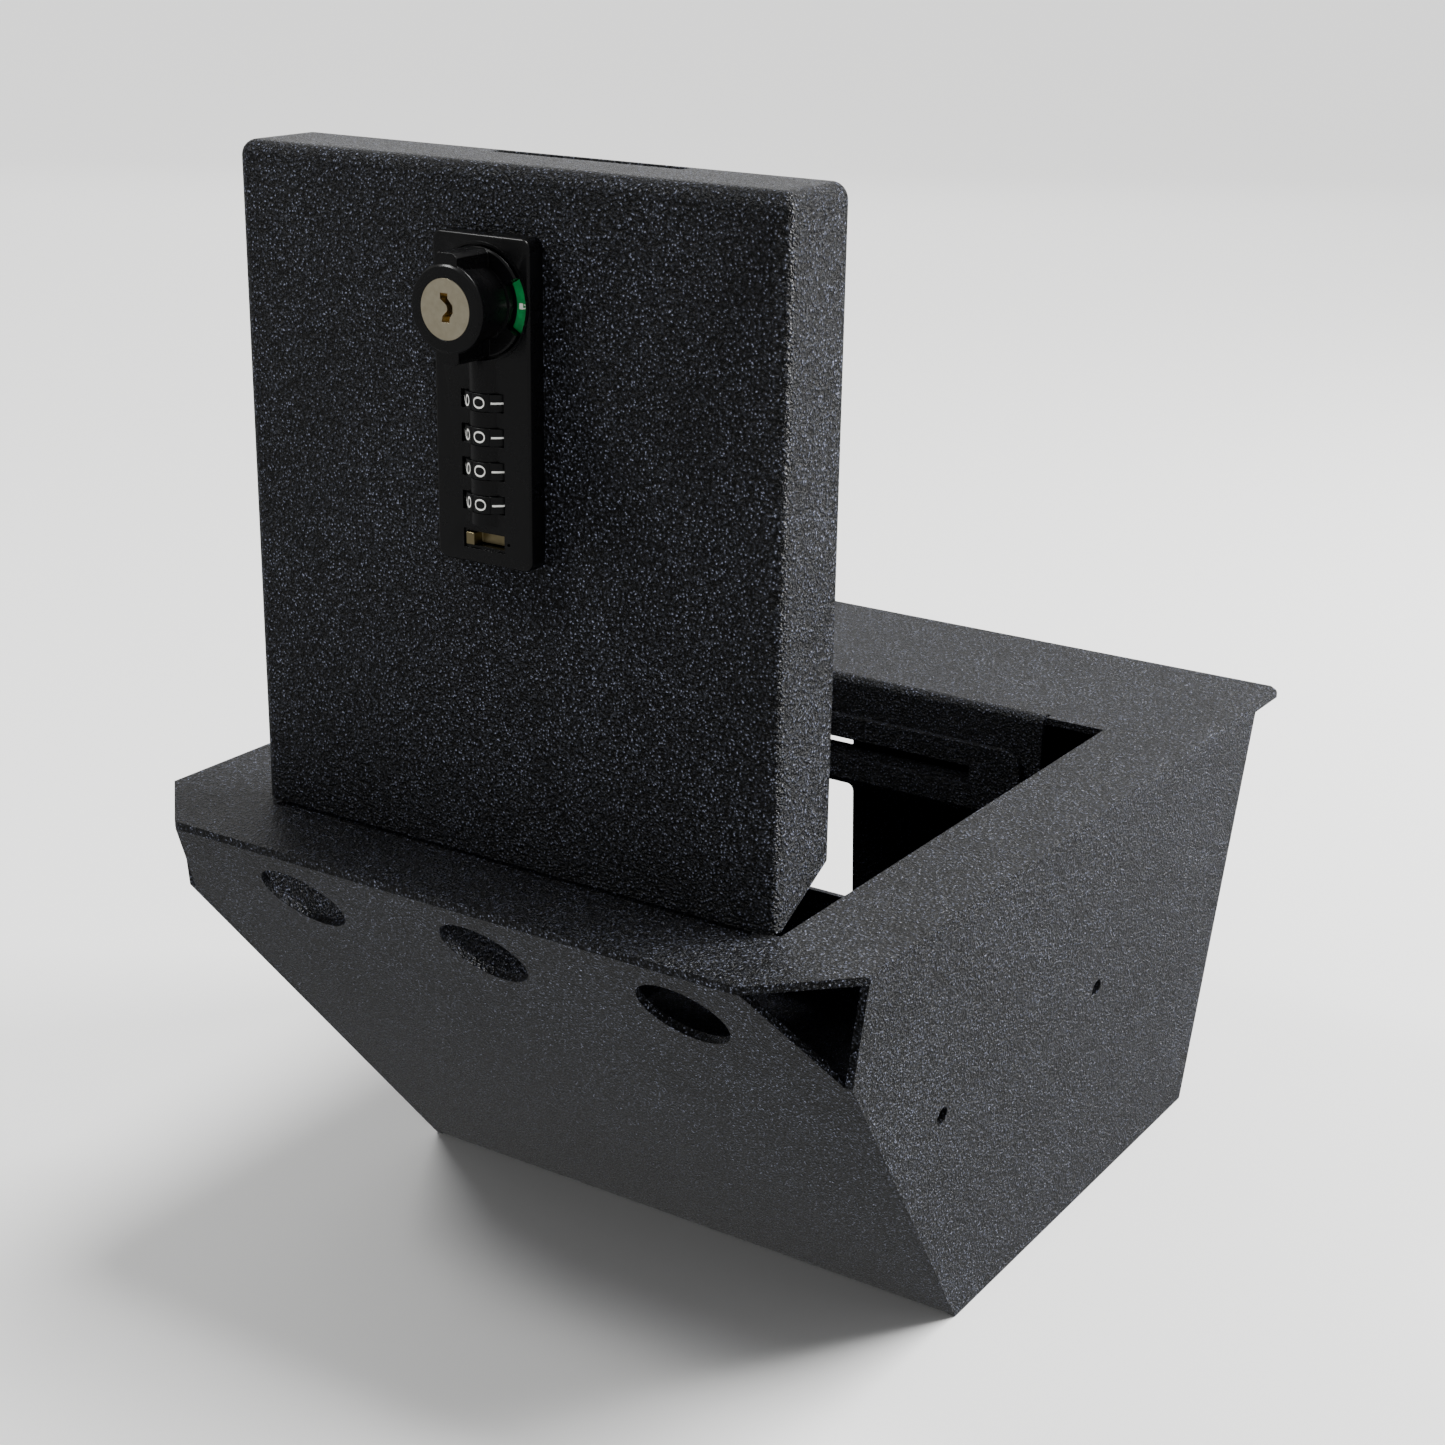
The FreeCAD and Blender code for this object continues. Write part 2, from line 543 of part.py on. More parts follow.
def cut_mouth(body):
    """The mouth, wider than the lid, with a notch for the hinge and cuts beside the rear lip."""
    shelf = f"({LID_FRONT} + size.corner_shelf)"
    lip = "(size.rear_lip_width / 2)"
    cut = f"({lip} + size.relief_width)"
    deep = f"({MOUTH_REAR} + size.relief_depth)"
    right = [
        (NOTCH_HALF, LIP_FACE), (NOTCH_HALF, shelf), (MOUTH_HALF, shelf), (MOUTH_HALF, MOUTH_REAR),
        (cut, MOUTH_REAR), (cut, deep), (lip, deep), (lip, MOUTH_REAR),
    ]
    left = [(f"-{x}", y) for x, y in reversed(right)]
    pocket(body, "XY_Plane", UNDER, TOP, polygon(*right, *left))


def build_wrap_panel():
    """Front panel, floor and back wall, folded from one sheet and welded between the sides."""
    body = piece("wrap_panel")
    slope_sheet = f"(size.sheet / cos(atan({FRONT_SLOPE})))"
    back_sheet = f"(size.sheet / cos(atan({BACK_SLOPE})))"
    front_top = f"({FRONT} + size.front_setback)"
    front_base = f"({FRONT} + size.base_setback)"
    pad(body, "YZ_Plane", f"-{HALF_WIDTH}", HALF_WIDTH, polygon(
        (front_top, UNDER), (front_base, "0"), (BACK_BASE, "0"), (BACK_TOP, UNDER),
        (f"{BACK_TOP} - {back_sheet}", UNDER),
        (f"{BACK_BASE} - {BACK_SLOPE} * size.sheet - {back_sheet}", "size.sheet"),
        (f"{front_base} - {FRONT_SLOPE} * size.sheet + {slope_sheet}", "size.sheet"),
        (f"{front_top} + {slope_sheet}", UNDER),
    ))
    inner_base = f"({HALF_WIDTH} - size.side_lean - {SIDE_SHEET})"
    inner_top = f"({HALF_WIDTH} - size.side_lean * size.sheet / size.body_height - {SIDE_SHEET})"
    for sign in ("", "-"):
        pocket(body, "XZ_Plane", FRONT, REAR, polygon(
            (f"{sign}{inner_base}", "0"), (f"{sign}{inner_top}", UNDER),
            (f"{sign}({HALF_WIDTH})", UNDER), (f"{sign}({HALF_WIDTH})", "0"),
        ))
    knee_drop = f"(size.sheet + (size.corner_clip - size.front_setback) / {FRONT_SLOPE})"
    knee_x = f"({HALF_WIDTH} - {knee_drop} * size.side_lean / size.body_height - {SIDE_SHEET})"
    clip_x = f"({HALF_WIDTH} - size.corner_clip + size.front_setback)"
    for sign in ("", "-"):
        pocket(body, "XZ_Plane", FRONT, f"{SIDE_FRONT} + 3 * size.sheet", polygon(
            (f"{sign}{clip_x}", UNDER), (f"{sign}{knee_x}", f"{TOP} - {knee_drop}"),
            (f"{sign}({HALF_WIDTH})", f"{TOP} - {knee_drop}"), (f"{sign}({HALF_WIDTH})", UNDER),
        ))
    window_right = "(-size.window_inset)"
    window_left = "(-size.window_inset - size.window_width)"
    window_low = f"({TOP} - size.window_top - size.window_height)"
    vent_low = f"({TOP} - size.vent_top - size.vent_height)"
    pocket(body, "XZ_Plane", f"{BACK_TOP} - 3 * size.sheet", REAR,
           rectangle(window_left, window_low, window_right, f"{TOP} - size.window_top"),
           rectangle(window_left, vent_low, window_right, f"{TOP} - size.vent_top"))
    ends = [number(window_left), number(window_right)]
    at_window = [number(window_low), number(f"{TOP} - size.window_top")]
    at_vent = [number(vent_low), number(f"{TOP} - size.vent_top")]
    round_edges(body, "size.window_radius", lambda a, b: along(a, b, "y")
                and any(near(a.x, x) for x in ends) and any(near(a.z, z) for z in at_window), 4)
    round_edges(body, "size.vent_height * 0.45", lambda a, b: along(a, b, "y")
                and any(near(a.x, x) for x in ends) and any(near(a.z, z) for z in at_vent), 4)
    round_edges(body, "size.bend_radius", lambda a, b: along(a, b, "x") and near(a.z, 0)
                and (near(a.y, number(front_base)) or near(a.y, number(BACK_BASE))), 2)
    round_edges(body, "size.bend_radius - size.sheet", lambda a, b: along(a, b, "x")
                and near(a.z, number("size.sheet")), 2)
    for hole in (-1, 0, 1):
        drop = f"size.front_hole_drop * cos(atan({FRONT_SLOPE}))"
        drill(body, f"size.front_hole_shift + {hole} * size.front_hole_pitch",
              f"{front_top} + {drop} * {FRONT_SLOPE} + size.sheet * 2 * cos(atan({FRONT_SLOPE}))",
              f"{UNDER} - {drop} + size.sheet * 2 * sin(atan({FRONT_SLOPE}))",
              (1, 0, 0), f"90deg + atan({FRONT_SLOPE})", "size.front_hole_radius", "size.sheet * 4")
    finish(body)


def build_strike_plate():
    """Doubler on the rear lip that takes the cam."""
    body = piece("strike_plate")
    half = "(size.strike_width / 2)"
    high = f"({TOP} - size.strike_top)"
    low = f"({high} - size.strike_height)"
    pad(body, "XZ_Plane", STRIKE_FRONT, MOUTH_REAR, rectangle(f"-{half}", low, half, high))
    round_edges(body, "size.strike_radius", lambda a, b: along(a, b, "y"), 4)
    pocket(body, "XZ_Plane", STRIKE_FRONT, MOUTH_REAR,
           rectangle("-size.slot_left", SLOT_BOTTOM, "size.slot_right", SLOT_TOP))
    finish(body)


KNUCKLES = 15
PITCH = f"(size.hinge_length / {KNUCKLES})"


def hinge_leaf(label, low_y, low_z, high_z, first, own_bore):
    """A leaf with every second knuckle, cut clear of the other leaf's knuckles."""
    body = piece(label)
    half = "(size.hinge_length / 2)"
    pad(body, "XY_Plane", low_z, high_z,
        rectangle(f"-{half}", low_y, half, f"{low_y} + size.hinge_leaf"))
    other = 1 - first
    start = f"(-{half} + {other} * {PITCH})"
    clearance = pocket(body, "YZ_Plane", f"{start} - 0.01", f"{start} + {PITCH} + 0.01",
                       circle(PIVOT_Y, PIVOT_Z, "size.barrel_radius + size.barrel_play"))
    repeat(body, clearance, "X_Axis", f"2 * {PITCH}", (KNUCKLES + 1 - other) // 2)
    start = f"(-{half} + {first} * {PITCH})"
    knuckle = pad(body, "YZ_Plane", f"{start} + size.knuckle_gap / 2",
                  f"{start} + {PITCH} - size.knuckle_gap / 2",
                  circle(PIVOT_Y, PIVOT_Z, "size.barrel_radius"))
    repeat(body, knuckle, "X_Axis", f"2 * {PITCH}", (KNUCKLES + 1 - first) // 2)
    pocket(body, "YZ_Plane", f"-{half}", half, circle(PIVOT_Y, PIVOT_Z, own_bore))
    finish(body)


def build_hinge():
    hinge_leaf("hinge_leaf_body", LIP_FACE, f"{PIVOT_Z} - size.leaf_width + size.hinge_drop",
               PIVOT_Z, 0, "size.pin_radius")
    leaf_top = f"{PIVOT_Z} + size.leaf_width + size.hinge_drop"
    hinge_leaf("hinge_leaf_lid", LID_INSIDE, PIVOT_Z, leaf_top,
               1, "size.pin_radius + size.pin_play")
    pin = piece("hinge_pin")
    pad(pin, "YZ_Plane", "-size.hinge_length / 2", "size.hinge_length / 2",
        circle(PIVOT_Y, PIVOT_Z, "size.pin_radius"))
    finish(pin)


def box_with_folds(body, inset, radius, back, low):
    """A box inside the lid's outline with its front, side and top folds rounded."""
    half = f"(size.lid_width / 2 - {inset})"
    front = f"({LID_FRONT} + {inset})"
    top = f"({LID_TOP} - {inset})"
    pad(body, "XZ_Plane", front, back, rectangle(f"-{half}", low, half, top))
    doc.recompute()
    x = number(half)
    y = number(front)
    z = number(top)
    round_edges(body, radius, lambda a, b: (near(a.y, y) and near(b.y, y)
                and (along(a, b, "z") or (along(a, b, "x") and near(a.z, z))))
                or (along(a, b, "y") and near(a.z, z) and near(abs(a.x), x)), 5)


def build_lid_pan():
    """The lid: a face with three folded sides, open at the hinge edge and at the back."""
    outer = piece("lid_blank")
    back = f"({LID_FRONT} + size.lid_depth)"
    box_with_folds(outer, "0", "size.lid_radius", back, LID_BOTTOM)
    pocket(outer, "YZ_Plane", "-size.lid_width / 2 - 1", "size.lid_width / 2 + 1", polygon(
        (f"{LID_FRONT} + size.lid_chamfer_start", LID_BOTTOM), (f"{back} + 1", LID_BOTTOM),
        (f"{back} + 1", f"{LID_BOTTOM} + size.lid_chamfer_rise"),
        (back, f"{LID_BOTTOM} + size.lid_chamfer_rise"),
    ))
    cut_x = "(size.tub_width / 2 + size.cutout_play)"
    cut_z = "(size.tub_height / 2 + size.cutout_play)"
    pocket(outer, "XZ_Plane", LID_FRONT, LID_INSIDE,
           rectangle(f"-{cut_x}", f"{LOCK_Z} - {cut_z}", cut_x, f"{LOCK_Z} + {cut_z}"))
    cam_front = f"({LID_FRONT} + size.cam_depth)"
    pocket(outer, "XY_Plane", f"{LID_TOP} - size.sheet", LID_TOP, rectangle(
        "-size.slot_left", f"{cam_front} - size.slot_play",
        "size.slot_right", f"{cam_front} + size.cam_thickness + size.slot_play",
    ))
    inner = piece("lid_hollow")
    box_with_folds(inner, "size.sheet", "size.lid_radius - size.sheet",
                   f"{back} + size.sheet", f"{LID_BOTTOM} - size.sheet")
    pan = doc.addObject("Part::Cut", "lid_pan")
    pan.Label = "lid_pan"
    pan.Base = outer
    pan.Tool = inner
    finish(pan)


def wheel_y(index):
    return f"(size.first_wheel - {index} * size.wheel_pitch)"


def build_lock_housing():
    """Die-cast face plate with the lock body behind it, in three chambers open at the back."""
    body = piece("lock_housing", "lock")
    half_x = "(size.plate_width / 2)"
    half_y = "(size.plate_height / 2)"
    pad(body, "XY_Plane", "0", "size.plate_thickness",
        rectangle(f"-{half_x}", f"-{half_y}", half_x, half_y))
    round_edges(body, "size.plate_radius", lambda a, b: along(a, b, "z"), 4)
    front = number("size.plate_thickness")
    round_edges(body, "size.plate_bevel", lambda a, b: near(a.z, front) and near(b.z, front))
    rib_axis = "(size.rib_front - size.rib_radius)"
    pad(body, "XZ_Plane", "-size.rib_bottom", "size.rib_top",
        circle("0", rib_axis, "size.rib_radius"))
    pad(body, "XY_Plane", CHAMBER_FRONT, "size.plate_thickness + size.ring_height",
        circle("0", "size.knob_rise", "size.ring_radius"))
    tub_x = "(size.tub_width / 2)"
    tub_y = "(size.tub_height / 2)"
    pad(body, "XY_Plane", "-size.tub_depth", "0",
        rectangle(f"-{tub_x}", f"-{tub_y}", tub_x, tub_y))
    pocket(body, "XY_Plane", "size.recess_floor", "size.rib_front + 1",
           circle("0", "size.knob_rise", "size.recess_radius"))
    inside_x = f"({tub_x} - size.tub_wall)"
    inside_y = f"({tub_y} - size.tub_wall)"
    chambers = [
        ("(size.chamber_split + size.web / 2)", inside_y),
        ("(-size.chamber_low + size.web / 2)", "(size.chamber_split - size.web / 2)"),
        (f"-{inside_y}", "(-size.chamber_low - size.web / 2)"),
    ]
    for low, high in chambers:
        pocket(body, "XY_Plane", "-size.tub_depth", CHAMBER_FRONT,
               rectangle(f"-{inside_x}", low, inside_x, high))
    post_x = f"({tub_x} - size.post_size)"
    post_y = f"({tub_y} - size.tub_wall - size.post_size)"
    for side_x in ("", "-"):
        for side_y in ("", "-"):
            pad(body, "XY_Plane", "-size.tub_depth", "-size.post_front", rectangle(
                f"{side_x}{post_x}", f"{side_y}{post_y}", f"{side_x}{tub_x}", f"{side_y}{tub_y}"))
    pocket(body, "XZ_Plane", chambers[1][0], chambers[1][1],
           circle("0", WHEEL_AXIS, "size.tunnel_radius"))
    window_y = "(size.wheel_width / 2 + size.wheel_play)"
    window = pocket(body, "XY_Plane", "0", "size.rib_front + 1", rectangle(
        "-size.wheel_window / 2", f"{wheel_y(0)} - {window_y}",
        "size.wheel_window / 2", f"{wheel_y(0)} + {window_y}"))
    repeat(body, window, "Y_Axis", "-size.wheel_pitch", 4)
    well = pocket(body, "XZ_Plane", f"{wheel_y(0)} - {window_y}", f"{wheel_y(0)} + {window_y}",
                  circle("0", WHEEL_AXIS, "size.wheel_radius + size.strip_gap"))
    repeat(body, well, "Y_Axis", "-size.wheel_pitch", 4)
    pocket(body, "XZ_Plane", f"{chambers[2][1]}", f"{chambers[0][0]}",
           circle("0", WHEEL_AXIS, "size.shaft_radius"))
    pocket(body, "XZ_Plane", chambers[1][1], chambers[0][0], rectangle(
        "-size.fence_half - size.fence_play", "-size.fence_back - size.fence_play",
        "size.fence_half + size.fence_play",
        "-size.fence_back + size.fence_thickness + size.fence_travel + size.fence_play"))
    slide_x = "(size.slider_window / 2)"
    slide_y = "(size.slider_window_height / 2)"
    frame = "size.slider_frame"
    pocket(body, "XY_Plane", CHAMBER_FRONT, "size.plate_thickness",
           rectangle(f"-{slide_x}", f"-size.slider_drop - {slide_y}",
                     slide_x, f"-size.slider_drop + {slide_y}"),
           circle("size.pinhole_x", "-size.slider_drop", "size.pinhole_radius"))
    pocket(body, "XY_Plane", f"size.plate_thickness - {frame}", "size.plate_thickness",
           rectangle(f"-{slide_x} - {frame}", f"-size.slider_drop - {slide_y} - {frame}",
                     f"{slide_x} + {frame}", f"-size.slider_drop + {slide_y} + {frame}"))
    pocket(body, "XY_Plane", CHAMBER_FRONT, "size.recess_floor",
           circle("0", "size.knob_rise", "size.hub_radius + size.turn_play"))
    for x, y in screw_places():
        pocket(body, "XY_Plane", "-size.tub_depth", "-size.tub_depth + size.screw_reach",
               circle(x, y, "size.screw_radius"))
    finish(body)


def screw_places():
    """The four case screws, over the posts in the corners of the lock body."""
    x = "(size.tub_width / 2 - size.screw_inset_x)"
    y = "(size.tub_height / 2 - size.screw_inset_y)"
    return [(f"{a}{x}", f"{b}{y}") for a in ("", "-") for b in ("", "-")]


def build_lock_case():
    """Case behind the lid that clamps the lock against the sheet and closes its back."""
    case = piece("lock_case", "lock")
    half_x = "(size.case_width / 2)"
    half_y = "(size.case_height / 2)"
    pad(case, "XY_Plane", CASE_BACK, "-size.sheet",
        rectangle(f"-{half_x}", f"-{half_y}", half_x, half_y))
    round_edges(case, "size.plate_radius", lambda a, b: along(a, b, "z"), 4)
    wall = "size.tub_wall"
    pocket(case, "XY_Plane", "-size.tub_depth", "-size.sheet",
           rectangle(f"-{half_x} + {wall}", f"-{half_y} + {wall}",
                     f"{half_x} - {wall}", f"{half_y} - {wall}"))
    ball_y = "(size.knob_rise + size.ball_offset)"
    pad(case, "XY_Plane", "-size.tub_depth", f"{COLLAR_BACK} - size.boss_gap",
        circle("0", ball_y, "size.boss_radius"))
    pocket(case, "XY_Plane", "-size.tub_depth", f"{COLLAR_BACK} - size.boss_gap",
           circle("0", ball_y, "size.boss_bore"))
    pocket(case, "XY_Plane", CASE_BACK, f"{COLLAR_BACK} - size.boss_gap",
           circle("0", "size.knob_rise", "size.spindle_radius + size.turn_play"))
    for x, y in screw_places():
        pocket(case, "XY_Plane", CASE_BACK, "-size.tub_depth",
               circle(x, y, "size.screw_radius + size.screw_play"))
    finish(case)

    screws = []
    for index, (x, y) in enumerate(screw_places()):
        screw = piece(f"case_screw_{index + 1}", "lock")
        pad(screw, "XY_Plane", f"{CASE_BACK} - size.screw_head_height", CASE_BACK,
            circle(x, y, "size.screw_head"))
        pad(screw, "XY_Plane", CASE_BACK, "-size.tub_depth + size.screw_reach",
            circle(x, y, "size.screw_radius"))
        screws.append(screw)
    group = doc.addObject("Part::Compound", "case_screws")
    group.Label = "case_screws"
    group.Links = screws
    finish(group)


def build_knob():
    """Winged knob, turned and then cut for the key cylinder, the labels and the spindle."""
    body = piece("knob", "knob")
    revolve(body, polygon(
        ("0", "-size.hub_back"), ("size.hub_radius", "-size.hub_back"),
        ("size.hub_radius", "size.skirt_back"), ("size.skirt_radius", "size.skirt_back"),
        ("size.skirt_radius", "size.skirt_front - size.skirt_slope"),
        ("size.skirt_radius - size.skirt_slope", "size.skirt_front"),
        ("size.barrel_root", "size.skirt_front"), ("size.barrel_neck", "size.head_back"),
        ("size.head_radius", "size.head_back + size.head_slope"),
        ("size.head_radius", "size.knob_front - size.head_slope"),
        ("size.head_radius - size.head_slope", "size.knob_front"), ("0", "size.knob_front"),
    ))
    side = "size.wing_half"
    end = "size.wing_reach"
    side_in = "(size.wing_half - size.wing_corner)"
    end_in = "(size.wing_reach - size.wing_corner)"
    pad(body, "XY_Plane", "size.skirt_front", "size.wing_front", polygon(
        (side, f"-{end_in}"), (side, end_in), (side_in, end), (f"-{side_in}", end),
        (f"-{side}", end_in), (f"-{side}", f"-{end_in}"), (f"-{side_in}", f"-{end}"),
        (side_in, f"-{end}")))
    pocket(body, "XY_Plane", "size.sleeve_back", "size.knob_front",
           circle("0", "0", "size.sleeve_radius"))
    pocket(body, "XY_Plane", SLEEVE_FRONT, "size.knob_front",
           circle("0", "0", "size.face_radius + size.turn_play"))
    pocket(body, "XY_Plane", "size.skirt_back", "size.skirt_front",
           ring_sector("size.notch_radius", "(size.skirt_radius + 1)", 0, "size.notch_angle"))
    pocket(body, "XY_Plane", "-size.hub_back", "-size.hub_back + size.tongue_length",
           rectangle("-size.tongue / 2", "-size.tongue / 2", "size.tongue / 2", "size.tongue / 2"))
    finish(body)


def build_labels():
    """Coloured position labels in the recess: one at the right, one at the top."""
    for label, middle in (("open_label", 0), ("locked_label", 90)):
        body = piece(label, "knob")
        pad(body, "XY_Plane", "size.recess_floor", "size.recess_floor + size.label_thickness",
            ring_sector("size.label_inner", "size.label_outer", middle, "size.label_angle"))
        finish(body)


def build_spindle():
    """Spindle through the lock body, with the collar, clip, cam, washer and screw on it."""
    spindle = piece("spindle", "knob")
    pad(spindle, "XY_Plane", "-size.cam_depth", "-size.hub_back",
        circle("0", "0", "size.spindle_radius"))
    half = "(size.tongue / 2)"
    pad(spindle, "XY_Plane", "-size.hub_back", "-size.hub_back + size.tongue_length",
        rectangle(f"-{half}", f"-{half}", half, half))
    square = "(size.cam_square / 2)"
    pad(spindle, "XY_Plane", CAM_BACK, "-size.cam_depth",
        rectangle(f"-{square}", f"-{square}", square, square))
    clip_front = f"({CASE_BACK} - size.clip_play)"
    pocket(spindle, "XY_Plane", f"{clip_front} - size.clip_thickness", clip_front,
           circle("0", "0", "size.spindle_radius + 1"), circle("0", "0", "size.clip_groove"))
    pocket(spindle, "XY_Plane", CAM_BACK, f"{CAM_BACK} + size.cam_screw_reach",
           circle("0", "0", "size.cam_screw_radius"))
    finish(spindle)

    collar = piece("blocking_collar", "knob")
    pad(collar, "XY_Plane", COLLAR_BACK, "-size.collar_front",
        circle("0", "0", "size.collar_radius"), circle("0", "0", "size.spindle_radius"))
    for middle in (-90, 180):
        pocket(collar, "XY_Plane", COLLAR_BACK, "-size.collar_front", ring_sector(
            "size.collar_notch", "(size.collar_radius + 1)", middle, "size.collar_notch_angle"))
    dimple = "(size.ball_radius * 0.6)"
    pocket(collar, "XY_Plane", COLLAR_BACK, f"{COLLAR_BACK} + {dimple} / 2",
           circle("0", "size.ball_offset + size.ball_radius / 3", dimple),
           circle("size.ball_offset + size.ball_radius / 3", "0", dimple))
    finish(collar)

    clip = piece("spindle_clip", "knob")
    pad(clip, "XY_Plane", f"{clip_front} - size.clip_thickness", clip_front,
        circle("0", "0", "size.clip_outer"), circle("0", "0", "size.clip_groove"))
    pocket(clip, "XY_Plane", f"{clip_front} - size.clip_thickness", clip_front,
           rectangle("-size.clip_groove * 0.7", "-size.clip_outer - 1",
                     "size.clip_groove * 0.7", "-size.clip_groove * 0.5"))
    finish(clip)

    cam = piece("cam", "knob")
    pad(cam, "XY_Plane", CAM_BACK, "-size.cam_depth",
        rectangle("-size.cam_heel", "-size.cam_width / 2", "size.cam_length", "size.cam_width / 2"))
    round_edges(cam, "size.cam_corner", lambda a, b: along(a, b, "z"), 4)
    pocket(cam, "XY_Plane", CAM_BACK, "-size.cam_depth",
           rectangle(f"-{square}", f"-{square}", square, square))
    finish(cam)

    washer_back = f"({CAM_BACK} - size.washer_thickness)"
    washer = piece("cam_washer", "knob")
    pad(washer, "XY_Plane", washer_back, CAM_BACK,
        circle("0", "0", "size.washer_radius"), circle("0", "0", "size.cam_screw_radius"))
    finish(washer)

    screw = piece("cam_screw", "knob")
    corner = "size.cam_screw_head"
    pad(screw, "XY_Plane", f"{washer_back} - size.cam_screw_height", washer_back, polygon(
        *[(f"{corner} * cos({60 * i}deg)", f"{corner} * sin({60 * i}deg)") for i in range(6)]))
    pad(screw, "XY_Plane", washer_back, f"{CAM_BACK} + size.cam_screw_reach",
        circle("0", "0", "size.cam_screw_radius"))
    finish(screw)


def build_detent():
    """Ball and spring that hold the knob at either end of its turn."""
    ball_back = f"({COLLAR_BACK} - size.ball_gap - 2 * size.ball_radius)"
    ball = doc.addObject("Part::Sphere", "detent_ball")
    ball.Label = "detent_ball"
    ball.setExpression("Radius", "size.ball_radius")
    ball.setExpression("Placement.Base.y", f"{LID_FRONT} - ({ball_back} + size.ball_radius)")
    ball.setExpression("Placement.Base.z", f"{KNOB_Z} + size.ball_offset")
    finish(ball)
    spring = piece("ball_spring", "knob")
    pad(spring, "XY_Plane", "-size.tub_depth", ball_back,
        circle("0", "size.ball_offset", "size.spring_radius"),
        circle("0", "size.ball_offset", "size.spring_radius * 0.6"))
    finish(spring)


KEYWAY = [(-1.7, 4.6), (1.0, 4.6), (1.0, 3.1), (2.5, 1.1), (2.5, -0.8), (1.6, -2.2), (1.6, -3.7),
          (-1.2, -3.7), (-1.2, -2.0), (-0.2, -0.7), (-0.2, 1.1), (-1.7, 2.9)]


def build_key_cylinder():
    """Sleeve pressed in the knob, and the plug with its face, keyway and wafer tumblers."""
    sleeve = piece("cylinder_sleeve", "knob")
    pad(sleeve, "XY_Plane", "size.sleeve_back", SLEEVE_FRONT,
        circle("0", "0", "size.sleeve_radius"),
        circle("0", "0", "size.plug_radius + size.turn_play"))
    finish(sleeve)

    plug = piece("key_plug", "knob")
    face_back = "(size.knob_front - size.face_thickness)"
    pad(plug, "XY_Plane", "size.plug_back", face_back, circle("0", "0", "size.plug_radius"))
    pad(plug, "XY_Plane", face_back, "size.knob_front", circle("0", "0", "size.face_radius"))
    pocket(plug, "XY_Plane", "size.knob_front - size.keyway_depth", "size.knob_front",
           polygon(*[(str(x), str(y)) for x, y in KEYWAY]))
    half_x = "size.wafer_half_width"
    half_y = "size.wafer_half_height"
    slot = pocket(plug, "XY_Plane", "size.wafer_first", "size.wafer_first + size.wafer_thickness",
                  rectangle(f"-{half_x}", f"-{half_y}", half_x, half_y))
    repeat(plug, slot, "Z_Axis", "size.wafer_pitch", 5)
    finish(plug)

    wafers = []
    for index in range(5):
        wafer = piece(f"wafer_{index + 1}", "knob")
        level = f"(size.wafer_first + {index} * size.wafer_pitch)"
        pad(wafer, "XY_Plane", level, f"{level} + size.wafer_thickness",
            rectangle(f"-{half_x}", f"-{half_y}", half_x, half_y),
            rectangle("-size.wafer_hole_left", "-size.wafer_hole_low",
                      "size.wafer_hole_right", "size.wafer_hole_high"))
        wafers.append(wafer)
    group = doc.addObject("Part::Compound", "wafer_tumblers")
    group.Label = "wafer_tumblers"
    group.Links = wafers
    finish(group)


def build_dials():
    """Four dials on one shaft, each with its code ring beside it."""
    shaft = piece("dial_shaft", "lock")
    pad(shaft, "XZ_Plane", "-size.chamber_low - size.web / 2", "size.chamber_split + size.web / 2",
        circle("0", WHEEL_AXIS, "size.shaft_radius"))
    finish(shaft)
    bore = "size.shaft_radius + size.ring_play"
    for index in range(4):
        middle = wheel_y(index)
        upper = f"({middle} + size.wheel_width / 2)"
        dial = piece(f"dial_{index + 1}", "lock")
        pad(dial, "XZ_Plane", f"{middle} - size.wheel_width / 2", upper,
            circle("0", WHEEL_AXIS, "size.wheel_radius"), circle("0", WHEEL_AXIS, bore))
        finish(dial)
        ring = piece(f"code_ring_{index + 1}", "lock")
        pad(ring, "XZ_Plane", upper, f"{upper} + size.code_ring_width",
            circle("0", WHEEL_AXIS, "size.code_ring_radius"), circle("0", WHEEL_AXIS, bore))
        ring_back = f"({WHEEL_AXIS} - size.code_ring_radius)"
        pocket(ring, "XZ_Plane", upper, f"{upper} + size.code_ring_width",
               rectangle("-size.gate_width / 2", f"{ring_back} - 0.5",
                         "size.gate_width / 2", f"{ring_back} + size.gate_depth"))
        finish(ring)


def build_fence():
    """Bar whose fingers feel for the gates in the code rings when the knob turns."""
    fence = piece("fence_bar", "lock")
    front = "(-size.fence_back + size.fence_thickness)"
    upper = "(size.knob_rise - size.collar_radius - size.fence_gap)"
    lower = "(-size.chamber_low + size.web / 2 + size.fence_gap)"
    pad(fence, "XY_Plane", "-size.fence_back", front,
        rectangle("-size.fence_half", lower, "size.fence_half", upper))
    for index in range(4):
        middle = f"({wheel_y(index)} + size.wheel_width / 2 + size.code_ring_width / 2)"
        pad(fence, "XY_Plane", front, "-size.finger_front", rectangle(
            "-size.fence_half * 0.7", f"{middle} - size.finger_width / 2",
            "size.fence_half * 0.7", f"{middle} + size.finger_width / 2"))
    finish(fence)


